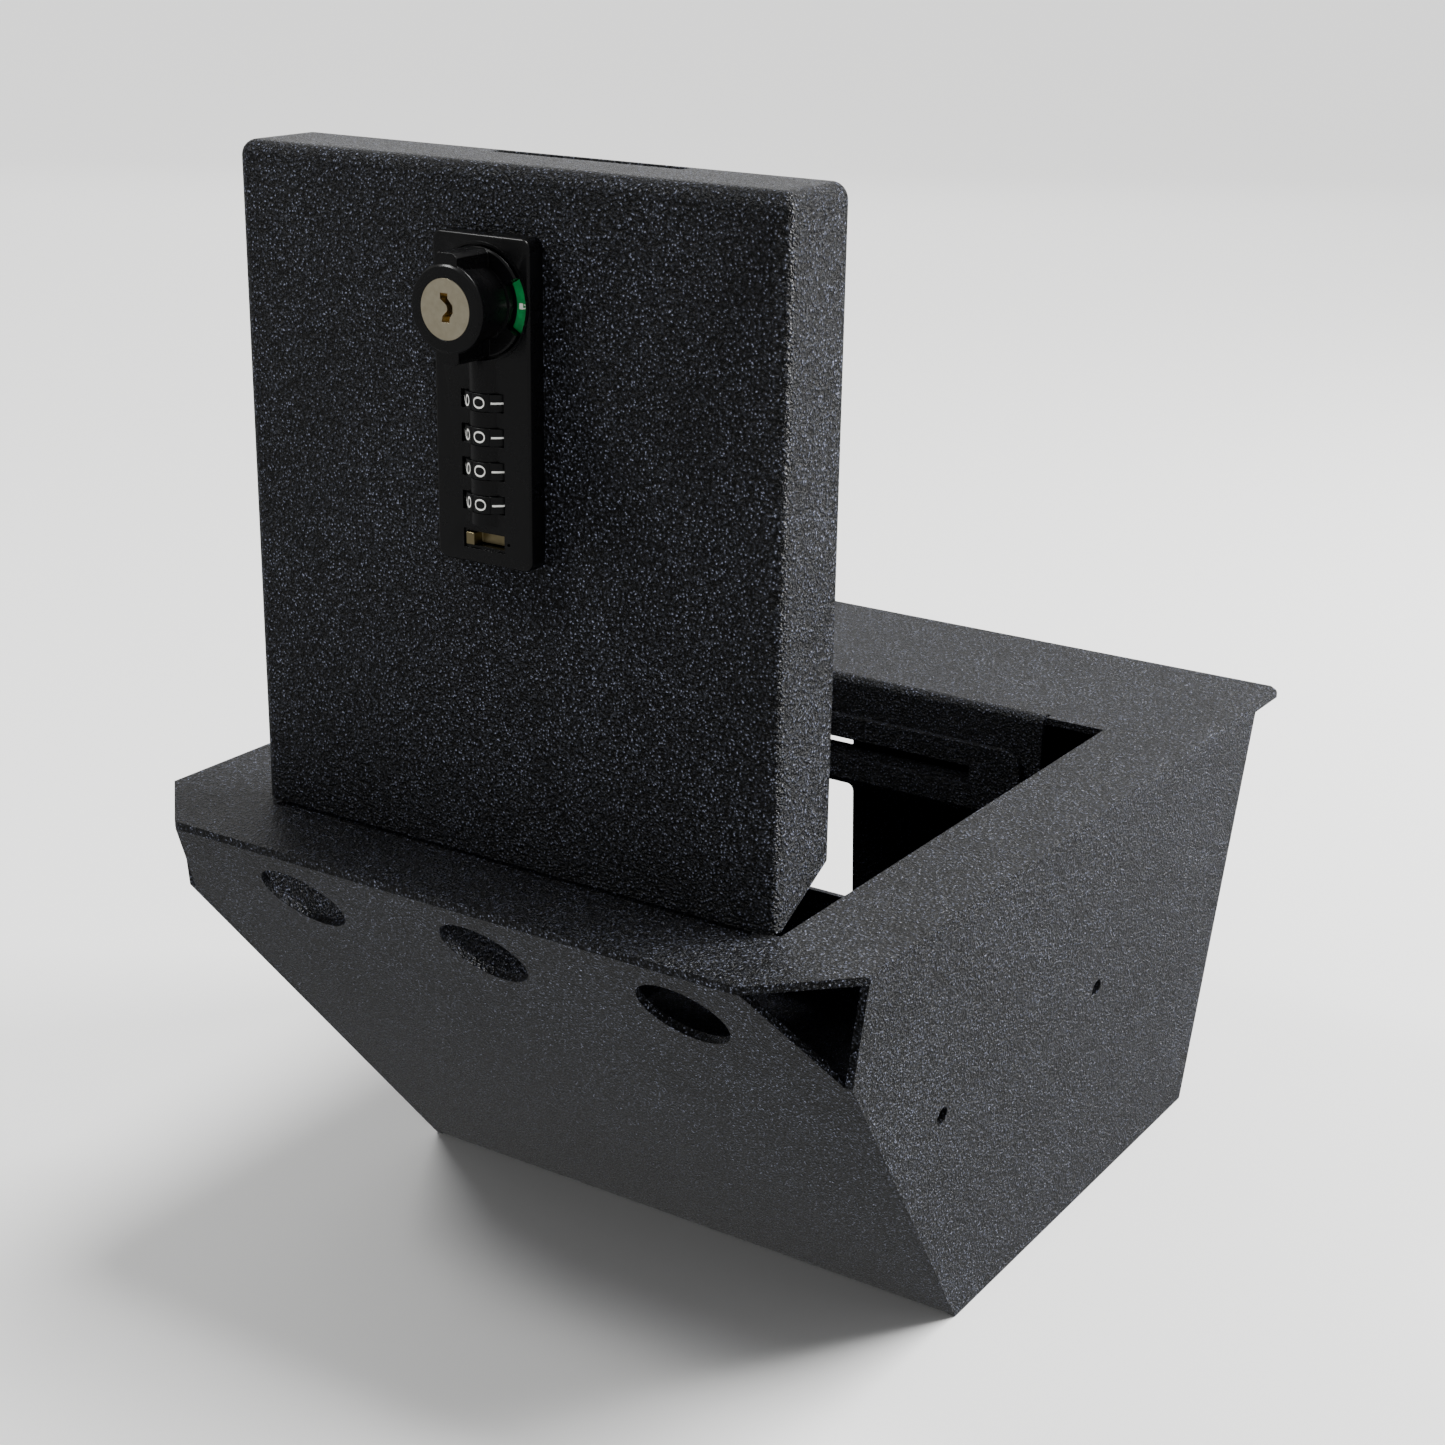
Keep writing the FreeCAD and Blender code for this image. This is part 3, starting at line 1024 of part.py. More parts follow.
def build_dial_spring():
    """Spring strip on the side wall, with a tip for each dial."""
    strip = piece("dial_spring", "lock")
    wall = "(size.tub_width / 2 - size.tub_wall)"
    inner = f"({wall} - size.strip)"
    low = "(-size.chamber_low + size.web / 2 + size.fence_gap)"
    high = "(size.chamber_split - size.web / 2 - size.fence_gap)"
    strip_back = f"{WHEEL_AXIS} - size.code_ring_radius"
    pad(strip, "XY_Plane", strip_back, f"{CHAMBER_FRONT} - size.fence_gap",
        rectangle(inner, low, wall, high))
    tip = "(size.wheel_radius + size.strip_gap)"
    for index in range(4):
        middle = wheel_y(index)
        reach = "size.wheel_width * 0.4"
        pad(strip, "XY_Plane", f"{WHEEL_AXIS} - 1", f"{WHEEL_AXIS} + 0.8", polygon(
            (inner, f"{middle} - {reach}"), (inner, f"{middle} + {reach}"), (tip, middle)))
    finish(strip)


def build_slider():
    """Code-change slider: a plate behind the face with a tab through its window."""
    slider = piece("code_slider", "lock")
    front = f"({CHAMBER_FRONT} - size.slider_gap)"
    low = "(-size.slider_drop - size.slider_half)"
    high = "(-size.slider_drop + size.slider_half)"
    pad(slider, "XY_Plane", "size.slider_back", front,
        rectangle("-size.slider_left", low, "size.slider_right", high))
    pad(slider, "XY_Plane", front, "size.tab_front",
        rectangle("-size.tab_left", low, "-size.tab_left + size.tab_width", high))
    finish(slider)


build_top_shell()
build_wrap_panel()
build_strike_plate()
build_hinge()
build_lid_pan()
build_lock_housing()
build_lock_case()
build_knob()
build_labels()
build_spindle()
build_detent()
build_key_cylinder()
build_dials()
build_fence()
build_dial_spring()
build_slider()
doc.recompute()

for item in doc.Objects:
    if {"Invalid", "Error"} & set(item.State):
        raise RuntimeError(f"{item.Name} did not compute: {item.State}")
for node in nodes:
    if node.Shape.isNull() or not node.Shape.isValid():
        raise RuntimeError(f"{node.Label} has no valid shape")

os.makedirs("parts", exist_ok=True)
for node in nodes:
    node.Shape.exportStep(f"parts/{node.Label}.step")
    box = node.Shape.BoundBox
    print(f"{node.Label:18s} solids {len(node.Shape.Solids)}  {node.Shape.Volume / 1000:8.2f} cm3"
          f"  x {box.XMin:7.1f} {box.XMax:7.1f}  y {box.YMin:7.1f} {box.YMax:7.1f}"
          f"  z {box.ZMin:6.1f} {box.ZMax:6.1f}")
print(len(nodes), "parts")
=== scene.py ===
# %% [markdown]
# # A console safe, from its fixed frame to a finished picture
# The object is a drop-in steel strongbox for a vehicle's centre console.  Its body and lid are
# folded from black powder-coated sheet, and the lid carries a four-dial combination lock with a
# key override.  The sizes and joints are already settled in the frame, so this notebook only
# rounds edges, adds the small things a maker would add, and gives every surface its finish.

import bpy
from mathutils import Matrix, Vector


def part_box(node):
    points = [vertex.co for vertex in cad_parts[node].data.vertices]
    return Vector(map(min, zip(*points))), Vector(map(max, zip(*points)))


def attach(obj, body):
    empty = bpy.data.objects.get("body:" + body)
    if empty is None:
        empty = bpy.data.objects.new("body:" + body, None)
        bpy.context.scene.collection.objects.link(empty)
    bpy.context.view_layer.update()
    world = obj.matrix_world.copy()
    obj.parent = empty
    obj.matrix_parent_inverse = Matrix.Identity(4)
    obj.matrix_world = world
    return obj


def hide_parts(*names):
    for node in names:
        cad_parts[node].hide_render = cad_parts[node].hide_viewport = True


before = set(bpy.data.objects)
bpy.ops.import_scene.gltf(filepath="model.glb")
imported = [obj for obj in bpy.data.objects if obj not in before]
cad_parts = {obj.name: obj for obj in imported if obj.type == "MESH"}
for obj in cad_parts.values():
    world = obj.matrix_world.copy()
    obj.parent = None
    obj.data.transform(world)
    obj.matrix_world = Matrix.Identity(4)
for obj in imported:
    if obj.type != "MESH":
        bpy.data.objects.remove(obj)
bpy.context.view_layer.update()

import math

import bmesh
import bpy
from mathutils import Matrix, Vector

MM = 0.001

# %% [markdown]
# ## Small helpers
# Colours are written as the hex values a designer would pick from a swatch; the renderer needs
# them in linear light, so one function converts them.  A second one adds a shader node with its
# settings and links in a single call, which keeps each material readable from top to bottom.


# %% Colour and node helpers
def linear(swatch):
    """An sRGB hex colour as linear RGBA."""
    channels = [int(swatch[i:i + 2], 16) / 255 for i in (1, 3, 5)]
    bent = [c / 12.92 if c <= 0.04045 else ((c + 0.055) / 1.055) ** 2.4 for c in channels]
    return (*bent, 1.0)


def add_node(tree, kind, inputs=None, **settings):
    """Add a shader node; an input takes a plain value or another node's output."""
    node = tree.nodes.new("ShaderNode" + kind)
    for name, value in settings.items():
        setattr(node, name, value)
    for name, value in (inputs or {}).items():
        if isinstance(value, bpy.types.NodeSocket):
            tree.links.new(value, node.inputs[name])
        else:
            node.inputs[name].default_value = value
    return node


def start_material(name, **shader):
    """A material with one Principled shader, its plain values set on its own sockets."""
    material = bpy.data.materials.new(name)
    material.use_nodes = True
    surface = material.node_tree.nodes["Principled BSDF"]
    for socket, value in shader.items():
        surface.inputs[socket.replace("_", " ")].default_value = value
    return material, material.node_tree, surface


def colour_steps(tree, factor, *steps):
    """A colour ramp through (position, swatch) steps."""
    ramp = add_node(tree, "ValToRGB", {"Fac": factor})
    elements = ramp.color_ramp.elements
    while len(elements) < len(steps):
        elements.new(0.5)
    for element, (position, swatch) in zip(elements, steps):
        element.position = position
        element.color = linear(swatch)
    return ramp.outputs["Color"]


# %% [markdown]
# ## Textured powder coat
# The steel is 12 gauge sheet with a polyester powder baked on.  The powder is made to shrink into
# a fine pebbled skin, so the eye sees a dark coat with thousands of grey-blue glints and a soft
# sheen on the crests only.  Painting the glints flat alone would look printed, so the pebbles are a
# real bump and the roughness follows it; the colour follows it too, with painted light on the
# crests, painted shade in the valleys and painted grey-blue glints on the highest crests.  The
# pebbles are drawn a millimetre apart, which is as coarse as they need to be to show.


# %% Powder coat material
def textured_powder_coat(name, lit_crest, shaded_valley, painted_glint):
    """Black textured powder coat on steel: pebbles a millimetre apart, with finer grit on them; the
    colour paints light on the crests, shade in the valleys and glints on the tops.
    """
    material, tree, surface = start_material(name, IOR=1.5, Specular_IOR_Level=0.23)
    place = add_node(tree, "TexCoord").outputs["Object"]
    pebble_pitch = 1.0 * MM
    grit_pitch = 0.62 * MM
    cloud_pitch = 45 * MM
    relief_depth = 1.0 * MM
    pebble_share = 0.5
    pebbles = add_node(tree, "TexVoronoi", {
        "Vector": place, "Scale": 1 / pebble_pitch, "Smoothness": 0.5, "Randomness": 1.0,
    }, feature="SMOOTH_F1")
    grit = add_node(tree, "TexNoise", {
        "Vector": place, "Scale": 1 / grit_pitch, "Detail": 2.0, "Roughness": 0.6,
    })
    cloud = add_node(tree, "TexNoise", {"Vector": place, "Scale": 1 / cloud_pitch, "Detail": 2.0})
    crests = add_node(tree, "MapRange", {
        "Value": pebbles.outputs["Distance"], "From Min": 0.0, "From Max": 0.75,
        "To Min": 1.0, "To Max": 0.0,
    })
    height = add_node(tree, "Math", {
        0: crests.outputs["Result"], 1: pebble_share, 2: grit.outputs["Fac"],
    }, operation="MULTIPLY_ADD")
    # The colour ramp paints light and shade on the relief: near-black painted shade in the valleys,
    # lighter crests, and a painted grey-blue glint on the highest crests.
    tone = colour_steps(tree, height.outputs["Value"],
                        (0.62, shaded_valley), (0.88, lit_crest), (1.0, painted_glint))
    patch = add_node(tree, "MapRange", {
        "Value": cloud.outputs["Fac"], "From Min": 0.35, "From Max": 0.65,
        "To Min": 0.85, "To Max": 1.15,
    })
    clouded = add_node(tree, "VectorMath", {0: tone, "Scale": patch.outputs["Result"]},
                       operation="SCALE")
    tree.links.new(clouded.outputs["Vector"], surface.inputs["Base Color"])
    sheen = add_node(tree, "MapRange", {
        "Value": grit.outputs["Fac"], "From Min": 0.3, "From Max": 0.7,
        "To Min": 0.40, "To Max": 0.22,
    })
    tree.links.new(sheen.outputs["Result"], surface.inputs["Roughness"])
    relief = add_node(tree, "Bump", {
        "Height": height.outputs["Value"], "Strength": 1.0, "Distance": relief_depth,
    })
    tree.links.new(relief.outputs["Normal"], surface.inputs["Normal"])
    return material


# The three swatches are the painted light on the crests, the painted shade in the valleys and the
# painted glint.
powder_coat = textured_powder_coat("textured_powder_coat", "#2b2d34", "#020202", "#80859a")
print("powder coat ready")

# %% [markdown]
# ## The lock's finishes
# The face plate, knob and dials are zinc die castings with a satin black coat: smooth, with a
# faint orange peel.  The key cylinder's face is brass under satin nickel, turned on a lathe, so
# it has fine rings and a warm tone.  Inside the lid the fittings are plain zinc-plated steel.


# %% Lock materials
def satin_black_casting(name, swatch, roughness):
    """Sprayed black coat on a zinc casting, with orange peel about 2 mm across."""
    material, tree, surface = start_material(name, IOR=1.5, Specular_IOR_Level=0.32)
    place = add_node(tree, "TexCoord").outputs["Object"]
    peel = add_node(tree, "TexNoise", {"Vector": place, "Scale": 1 / (2.0 * MM), "Detail": 2.0})
    handled = add_node(tree, "TexNoise", {"Vector": place, "Scale": 1 / (9 * MM), "Detail": 3.0})
    surface.inputs["Base Color"].default_value = linear(swatch)
    sheen = add_node(tree, "MapRange", {
        "Value": handled.outputs["Fac"], "From Min": 0.3, "From Max": 0.7,
        "To Min": roughness - 0.05, "To Max": roughness + 0.06,
    })
    tree.links.new(sheen.outputs["Result"], surface.inputs["Roughness"])
    relief = add_node(tree, "Bump", {
        "Height": peel.outputs["Fac"], "Strength": 0.35, "Distance": 0.03 * MM,
    })
    tree.links.new(relief.outputs["Normal"], surface.inputs["Normal"])
    return material


def plated_metal(name, swatch, roughness, grain, direction=(1, 1, 1)):
    """Plated or bare metal with a fine grain, `grain` millimetres wide, stretched by direction."""
    material, tree, surface = start_material(name, Metallic=1.0)
    surface.inputs["Base Color"].default_value = linear(swatch)
    place = add_node(tree, "TexCoord").outputs["Object"]
    stretched = add_node(tree, "Mapping", {"Vector": place, "Scale": direction})
    lines = add_node(tree, "TexNoise", {
        "Vector": stretched.outputs["Vector"], "Scale": 1 / (grain * MM), "Detail": 3.0,
    })
    sheen = add_node(tree, "MapRange", {
        "Value": lines.outputs["Fac"], "From Min": 0.3, "From Max": 0.7,
        "To Min": roughness - 0.08, "To Max": roughness + 0.1,
    })
    tree.links.new(sheen.outputs["Result"], surface.inputs["Roughness"])
    relief = add_node(tree, "Bump", {
        "Height": lines.outputs["Fac"], "Strength": 0.3, "Distance": 0.015 * MM,
    })
    tree.links.new(relief.outputs["Normal"], surface.inputs["Normal"])
    return material


def turned_nickel(name, axis_at):
    """Satin nickel over turned brass: rings 0.35 mm apart round the axis of the lathe."""
    material, tree, surface = start_material(name, Metallic=1.0)
    place = add_node(tree, "TexCoord").outputs["Object"]
    centred = add_node(tree, "Mapping", {
        "Vector": place, "Location": (-axis_at.x, 0, -axis_at.z), "Scale": (1, 0, 1),
    })
    reach = add_node(tree, "VectorMath", {0: centred.outputs["Vector"]}, operation="LENGTH")
    phase = add_node(tree, "Math", {0: reach.outputs["Value"], 1: math.tau / (0.35 * MM)},
                     operation="MULTIPLY")
    rings = add_node(tree, "Math", {0: phase.outputs["Value"]}, operation="SINE")
    mottle = add_node(tree, "TexNoise", {"Vector": place, "Scale": 1 / (1.6 * MM), "Detail": 3.0})
    tone = colour_steps(tree, mottle.outputs["Fac"], (0.3, "#cdc3a8"), (0.7, "#d8cfb6"))
    tree.links.new(tone, surface.inputs["Base Color"])
    surface.inputs["Roughness"].default_value = 0.33
    relief = add_node(tree, "Bump", {
        "Height": rings.outputs["Value"], "Strength": 0.25, "Distance": 0.01 * MM,
    })
    tree.links.new(relief.outputs["Normal"], surface.inputs["Normal"])
    return material


def printed_film(name, swatch, darker):
    """Screen-printed polyester label, with a slight mottle 1.5 mm across."""
    material, tree, surface = start_material(name, IOR=1.5, Roughness=0.38)
    place = add_node(tree, "TexCoord").outputs["Object"]
    ink = add_node(tree, "TexNoise", {"Vector": place, "Scale": 1 / (1.5 * MM), "Detail": 2.0})
    tone = colour_steps(tree, ink.outputs["Fac"], (0.35, darker), (0.65, swatch))
    tree.links.new(tone, surface.inputs["Base Color"])
    return material


def middle(node):
    """The centre of a node's box."""
    low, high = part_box(node)
    return (Vector(low) + Vector(high)) / 2


KNOB_AXIS = middle("key_plug")
casting_black = satin_black_casting("satin_black_zinc", "#070708", 0.28)
knob_black = satin_black_casting("satin_black_zinc_knob", "#060607", 0.26)
dial_black = satin_black_casting("moulded_dial_black", "#08090a", 0.36)
nickel = turned_nickel("turned_satin_nickel", KNOB_AXIS)
zinc = plated_metal("bright_zinc_plate", "#b9bdc2", 0.34, 0.8)
steel = plated_metal("spring_steel", "#8d9096", 0.3, 0.5)
brass = plated_metal("bare_brass", "#c9a45c", 0.32, 0.6)
slider_nickel = plated_metal("worn_nickel", "#978b6a", 0.36, 0.7)
green_film = printed_film("green_label_film", "#0d8a45", "#0a7439")
red_film = printed_film("red_label_film", "#b01f1f", "#961717")
white_ink = printed_film("white_figure_paint", "#e6e6e2", "#d4d4cf")
print("lock finishes ready")

# %% [markdown]
# ## Rounding the folded steel
# Real sheet has no razor edges: it is deburred, and the powder builds up to a small radius.  The
# frame's meshes are exact but sharp, so each one is copied, its loose triangles are merged back
# into flat faces, and a Bevel modifier rolls the sharp edges.  Bevelling the merged copy works far
# better than bevelling raw triangles, whose slivers would stop the bevel from growing.


# %% Helpers that make pieces
def as_piece(name, mesh, material, body, replaced=()):
    """Put a finished mesh in the scene as a piece that rides on a body."""
    mesh.materials.clear()
    mesh.materials.append(material)
    piece = bpy.data.objects.new(name, mesh)
    bpy.context.scene.collection.objects.link(piece)
    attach(piece, body)
    if replaced:
        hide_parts(*replaced)
    return piece


def from_bmesh(shape, name, smooth_below=35):
    """Turn a bmesh into a mesh with smooth faces and crisp edges."""
    mesh = bpy.data.meshes.new(name)
    shape.to_mesh(mesh)
    shape.free()
    mesh.polygons.foreach_set("use_smooth", [True] * len(mesh.polygons))
    mesh.set_sharp_from_angle(angle=math.radians(smooth_below))
    return mesh


def merged_copy(node):
    """A bmesh of a CAD node with its triangles joined into flat faces."""
    shape = bmesh.new()
    shape.from_mesh(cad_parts[node].data)
    bmesh.ops.remove_doubles(shape, verts=shape.verts, dist=0.002 * MM)
    bmesh.ops.dissolve_limit(shape, angle_limit=math.radians(0.5), verts=shape.verts,
                             edges=shape.edges, delimit={"NORMAL"})
    return shape


def roll_edges(piece, radius, steps, least_angle):
    """Roll a piece's edges sharper than an angle to a radius in millimetres."""
    bevel = piece.modifiers.new("rolled_edges", "BEVEL")
    bevel.width = radius * MM
    bevel.segments = steps
    bevel.limit_method = "ANGLE"
    bevel.angle_limit = math.radians(least_angle)
    bevel.harden_normals = True


def rounded(node, name, radius, material, body, steps=2, least_angle=32):
    """A CAD node's shape with its sharp edges rolled to a radius in millimetres."""
    piece = as_piece(name, from_bmesh(merged_copy(node), name), material, body, (node,))
    roll_edges(piece, radius, steps, least_angle)


# %% Box and lid
rounded("top_shell", "folded_shell", 0.35, powder_coat, "box")
rounded("wrap_panel", "folded_wrap", 0.5, powder_coat, "box")
rounded("strike_plate", "strike_doubler", 0.6, powder_coat, "box")
rounded("lid_pan", "folded_lid", 0.5, powder_coat, "lid")
print("folded steel rounded")

# %% [markdown]
# ## The lock's castings
# The face plate is one die casting: a plate with a raised ring, a rib with four windows and a
# small window for the slider.  The knob has a turned head with two finger grips.  Both come out
# of the die with soft edges, so they get the same rolled edges as the steel, only finer.


# %% Lock castings and fittings
def refinish(node, material):
    """Keep a CAD node's shape and give it a finished material."""
    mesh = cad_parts[node].data
    mesh.materials.clear()
    mesh.materials.append(material)


rounded("lock_housing", "lock_face_plate", 0.22, casting_black, "lid")
rounded("knob", "winged_knob", 0.7, knob_black, "knob", steps=4, least_angle=40)
rounded("code_slider", "slider_tab", 0.25, slider_nickel, "slider")
rounded("lock_case", "lock_rear_case", 0.6, zinc, "lid")
rounded("cam", "latch_cam", 0.25, zinc, "knob")
rounded("cam_washer", "latch_washer", 0.1, zinc, "knob")
rounded("cam_screw", "latch_screw", 0.3, zinc, "knob")
for node in ("spindle", "blocking_collar", "fence_bar", "dial_shaft"):
    refinish(node, zinc)
for node in ("spindle_clip", "dial_spring", "detent_ball", "hinge_pin"):
    refinish(node, steel)
for node in ("cylinder_sleeve", "wafer_tumblers", *(f"code_ring_{i}" for i in range(1, 5))):
    refinish(node, brass)
refinish("open_label", green_film)
refinish("locked_label", red_film)
print("castings and fittings finished")

# %% [markdown]
# ## The key cylinder's face
# The face is a turned disc with a zig-zag keyway.  A shallow cone in the middle guides the key in.
# A cone is quick to cut with a Boolean; it is applied straight away, so that no hidden cutter is
# left behind in the scene.


# %% Key face with its dimple
def cut_away(shape, *cutters):
    """Cut other bmeshes out of a bmesh, and return the result."""
    objects = []
    for part in (shape, *cutters):
        mesh = bpy.data.meshes.new("cutting")
        part.to_mesh(mesh)
        part.free()
        item = bpy.data.objects.new("cutting", mesh)
        bpy.context.scene.collection.objects.link(item)
        objects.append(item)
    for cutter in objects[1:]:
        cut = objects[0].modifiers.new("cut", "BOOLEAN")
        cut.object = cutter
        cut.solver = "EXACT"
    bpy.context.view_layer.update()
    ready = objects[0].evaluated_get(bpy.context.evaluated_depsgraph_get())
    result = bmesh.new()
    result.from_mesh(ready.to_mesh())
    for item in objects:
        bpy.data.objects.remove(item)
    return result


FACING = Matrix.Rotation(math.radians(90), 4, "X")
DIMPLE_RADIUS = 3.3 * MM
DIMPLE_DEPTH = 1.3 * MM
DIMPLE_TIP = 0.05 * MM
face_front = Vector(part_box("key_plug")[0]).y
dimple = bmesh.new()
bmesh.ops.create_cone(dimple, cap_ends=True, segments=48, radius1=DIMPLE_TIP,
                      radius2=2 * DIMPLE_RADIUS, depth=2 * DIMPLE_DEPTH)
bmesh.ops.transform(dimple, verts=dimple.verts, matrix=FACING)
bmesh.ops.translate(dimple, verts=dimple.verts,
                    vec=Vector((0, face_front, KNOB_AXIS.z)))
plug_shape = cut_away(merged_copy("key_plug"), dimple)
plug = as_piece("key_cylinder_face", from_bmesh(plug_shape, "key_cylinder_face"), nickel,
                "plug", ("key_plug",))
roll_edges(plug, 0.25, steps=2, least_angle=35)
print("key face faces", len(plug.data.polygons))

# %% [markdown]
# ## The dials
# Each dial is a thumb wheel with ten lands and a fine groove between each pair for the finger.
# The figures are printed white on the lands and lie on their sides, because the lock is read with
# the knob at the left.  A figure starts as flat text, is cut across so that it can bend, and is
# then wrapped round the wheel.

# %% Dial bodies
DIALS = range(1, 5)
DIAL_RADIUS = (Vector(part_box("dial_1")[1]).x - Vector(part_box("dial_1")[0]).x) / 2
LAND = math.radians(36)
AT_REST = math.radians(5)
RIM_STEPS = 200
GROOVE_HALF = math.radians(2.6)
GROOVE_DEPTH = 0.35 * MM
BORE_RADIUS = 1.55 * MM


def dial_shape(centre, low, high):
    """A grooved wheel round a vertical axis through `centre`."""
    shape = bmesh.new()
    outer = bmesh.ops.create_circle(shape, segments=RIM_STEPS, radius=DIAL_RADIUS)["verts"]
    inner = bmesh.ops.create_circle(shape, segments=RIM_STEPS, radius=BORE_RADIUS)["verts"]
    for vert in outer:
        angle = math.atan2(vert.co.y, vert.co.x) + math.pi / 2 - AT_REST
        off = abs((angle + LAND / 2) % LAND - LAND / 2)
        away = LAND / 2 - off
        share = min(1.0, max(0.0, (GROOVE_HALF * 1.5 - away) / (GROOVE_HALF * 0.7)))
        vert.co *= (DIAL_RADIUS - GROOVE_DEPTH * share) / DIAL_RADIUS
    bmesh.ops.bridge_loops(shape, edges=shape.edges[:])
    faces = bmesh.ops.extrude_face_region(shape, geom=shape.faces[:])["geom"]
    top = [item for item in faces if isinstance(item, bmesh.types.BMVert)]
    bmesh.ops.translate(shape, verts=top, vec=(0, 0, high - low))
    bmesh.ops.translate(shape, verts=shape.verts, vec=(centre.x, centre.y, low))
    bmesh.ops.recalc_face_normals(shape, faces=shape.faces)
    return shape


for index in DIALS:
    low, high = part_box(f"dial_{index}")
    wheel = as_piece(f"grooved_dial_{index}",
                     from_bmesh(dial_shape(middle(f"dial_{index}"), low[2], high[2]),
                                f"grooved_dial_{index}"),
                     dial_black, f"dial_{index}", (f"dial_{index}",))
    roll_edges(wheel, 0.18, steps=2, least_angle=50)
print("dials", len(DIALS), "radius", round(DIAL_RADIUS / MM, 2), "mm")

# %% Figures on the dials
FIGURE_HEIGHT = 3.8 * MM
FIGURE_WIDTH = 3.5 * MM
STROKE = 0.55 * MM
INK = 0.04 * MM
THINNER = -0.018
CUTS = 8


def flat_figure(digit):
    """A figure as a flat bmesh, centred, with its height along Y."""
    shape = bmesh.new()
    if digit == 1:
        bmesh.ops.create_grid(shape, x_segments=1, y_segments=1, size=0.5)
        width = STROKE
    else:
        text = bpy.data.curves.new("figure", "FONT")
        text.body = str(digit)
        text.offset = THINNER
        holder = bpy.data.objects.new("figure", text)
        bpy.context.scene.collection.objects.link(holder)
        bpy.context.view_layer.update()
        ready = holder.evaluated_get(bpy.context.evaluated_depsgraph_get())
        shape.from_mesh(ready.to_mesh())
        bpy.data.objects.remove(holder)
        bmesh.ops.remove_doubles(shape, verts=shape.verts, dist=1e-4)
        width = FIGURE_WIDTH
    across = [vert.co.x for vert in shape.verts]
    tall = [vert.co.y for vert in shape.verts]
    bmesh.ops.translate(shape, verts=shape.verts,
                        vec=(-(min(across) + max(across)) / 2, -(min(tall) + max(tall)) / 2, 0))
    bmesh.ops.scale(shape, verts=shape.verts, vec=(
        width / (max(across) - min(across)), FIGURE_HEIGHT / (max(tall) - min(tall)), 1))
    return shape


def wrap_figure(shape, centre, turn):
    """Lie a flat figure on its side and bend it round a dial, a hair proud of the land."""
    for step in range(1, CUTS):
        level = FIGURE_HEIGHT * (step / CUTS - 0.5)
        bmesh.ops.bisect_plane(shape, geom=shape.verts[:] + shape.edges[:] + shape.faces[:],
                               plane_co=(0, level, 0), plane_no=(0, 1, 0))
    bottom = bmesh.ops.extrude_face_region(shape, geom=shape.faces[:])["geom"]
    for item in bottom:
        if isinstance(item, bmesh.types.BMVert):
            item.co.z -= 3 * INK
    for vert in shape.verts:
        angle = turn + vert.co.y / DIAL_RADIUS
        radius = DIAL_RADIUS + INK + vert.co.z
        height = -vert.co.x
        vert.co = centre + Vector((radius * math.sin(angle), -radius * math.cos(angle), height))
    bmesh.ops.recalc_face_normals(shape, faces=shape.faces)
    return shape


for index in DIALS:
    together = bmesh.new()
    for digit in range(10):
        bent = wrap_figure(flat_figure(digit), middle(f"dial_{index}"),
                           AT_REST + digit * LAND)
        scratch = bpy.data.meshes.new("scratch")
        bent.to_mesh(scratch)
        bent.free()
        together.from_mesh(scratch)
        bpy.data.meshes.remove(scratch)
    as_piece(f"dial_figures_{index}", from_bmesh(together, f"dial_figures_{index}"),
             white_ink, f"dial_{index}")
print("figures wrapped on", len(DIALS), "dials")

# %% [markdown]
# ## The hinge, the case screws and the small print
# The piano hinge is riveted to the lip and to the lid.  Its rivets are low domes, so each is a
# short profile spun round its axis.  The case behind the lid is held by four cross-recess screws.
# The green label carries a small open padlock, drawn as a ring sector and a block.


# %% Rivets, screws and the label's sign
def dome(centre, radius, height, outward, steps=20):
    """A closed dome on a surface, as a bmesh; `outward` is +1 or -1 along Y."""
    shape = bmesh.new()
    profile = [shape.verts.new((0, 0, height))]
    for part in range(1, 6):
        angle = math.radians(90 - 18 * part)
        profile.append(shape.verts.new((radius * math.cos(angle), 0, height * math.sin(angle))))
    sunk = -0.3 * height
    profile.append(shape.verts.new((radius, 0, sunk)))
    profile.append(shape.verts.new((0, 0, sunk)))
    edges = [shape.edges.new(pair) for pair in zip(profile, profile[1:])]
    bmesh.ops.spin(shape, geom=profile + edges, cent=(0, 0, 0), axis=(0, 0, 1),
                   angle=math.tau, steps=steps, use_merge=True)
    bmesh.ops.remove_doubles(shape, verts=shape.verts, dist=0.001 * MM)
    bmesh.ops.rotate(shape, verts=shape.verts, cent=(0, 0, 0),
                     matrix=Matrix.Rotation(math.radians(-90 * outward), 3, "X"))
    bmesh.ops.translate(shape, verts=shape.verts, vec=centre)
    bmesh.ops.recalc_face_normals(shape, faces=shape.faces)
    return shape


def joined(shapes):
    """Several bmeshes as one."""
    whole = bmesh.new()
    for shape in shapes:
        scratch = bpy.data.meshes.new("scratch")
        shape.to_mesh(scratch)
        shape.free()
        whole.from_mesh(scratch)
        bpy.data.meshes.remove(scratch)
    return whole


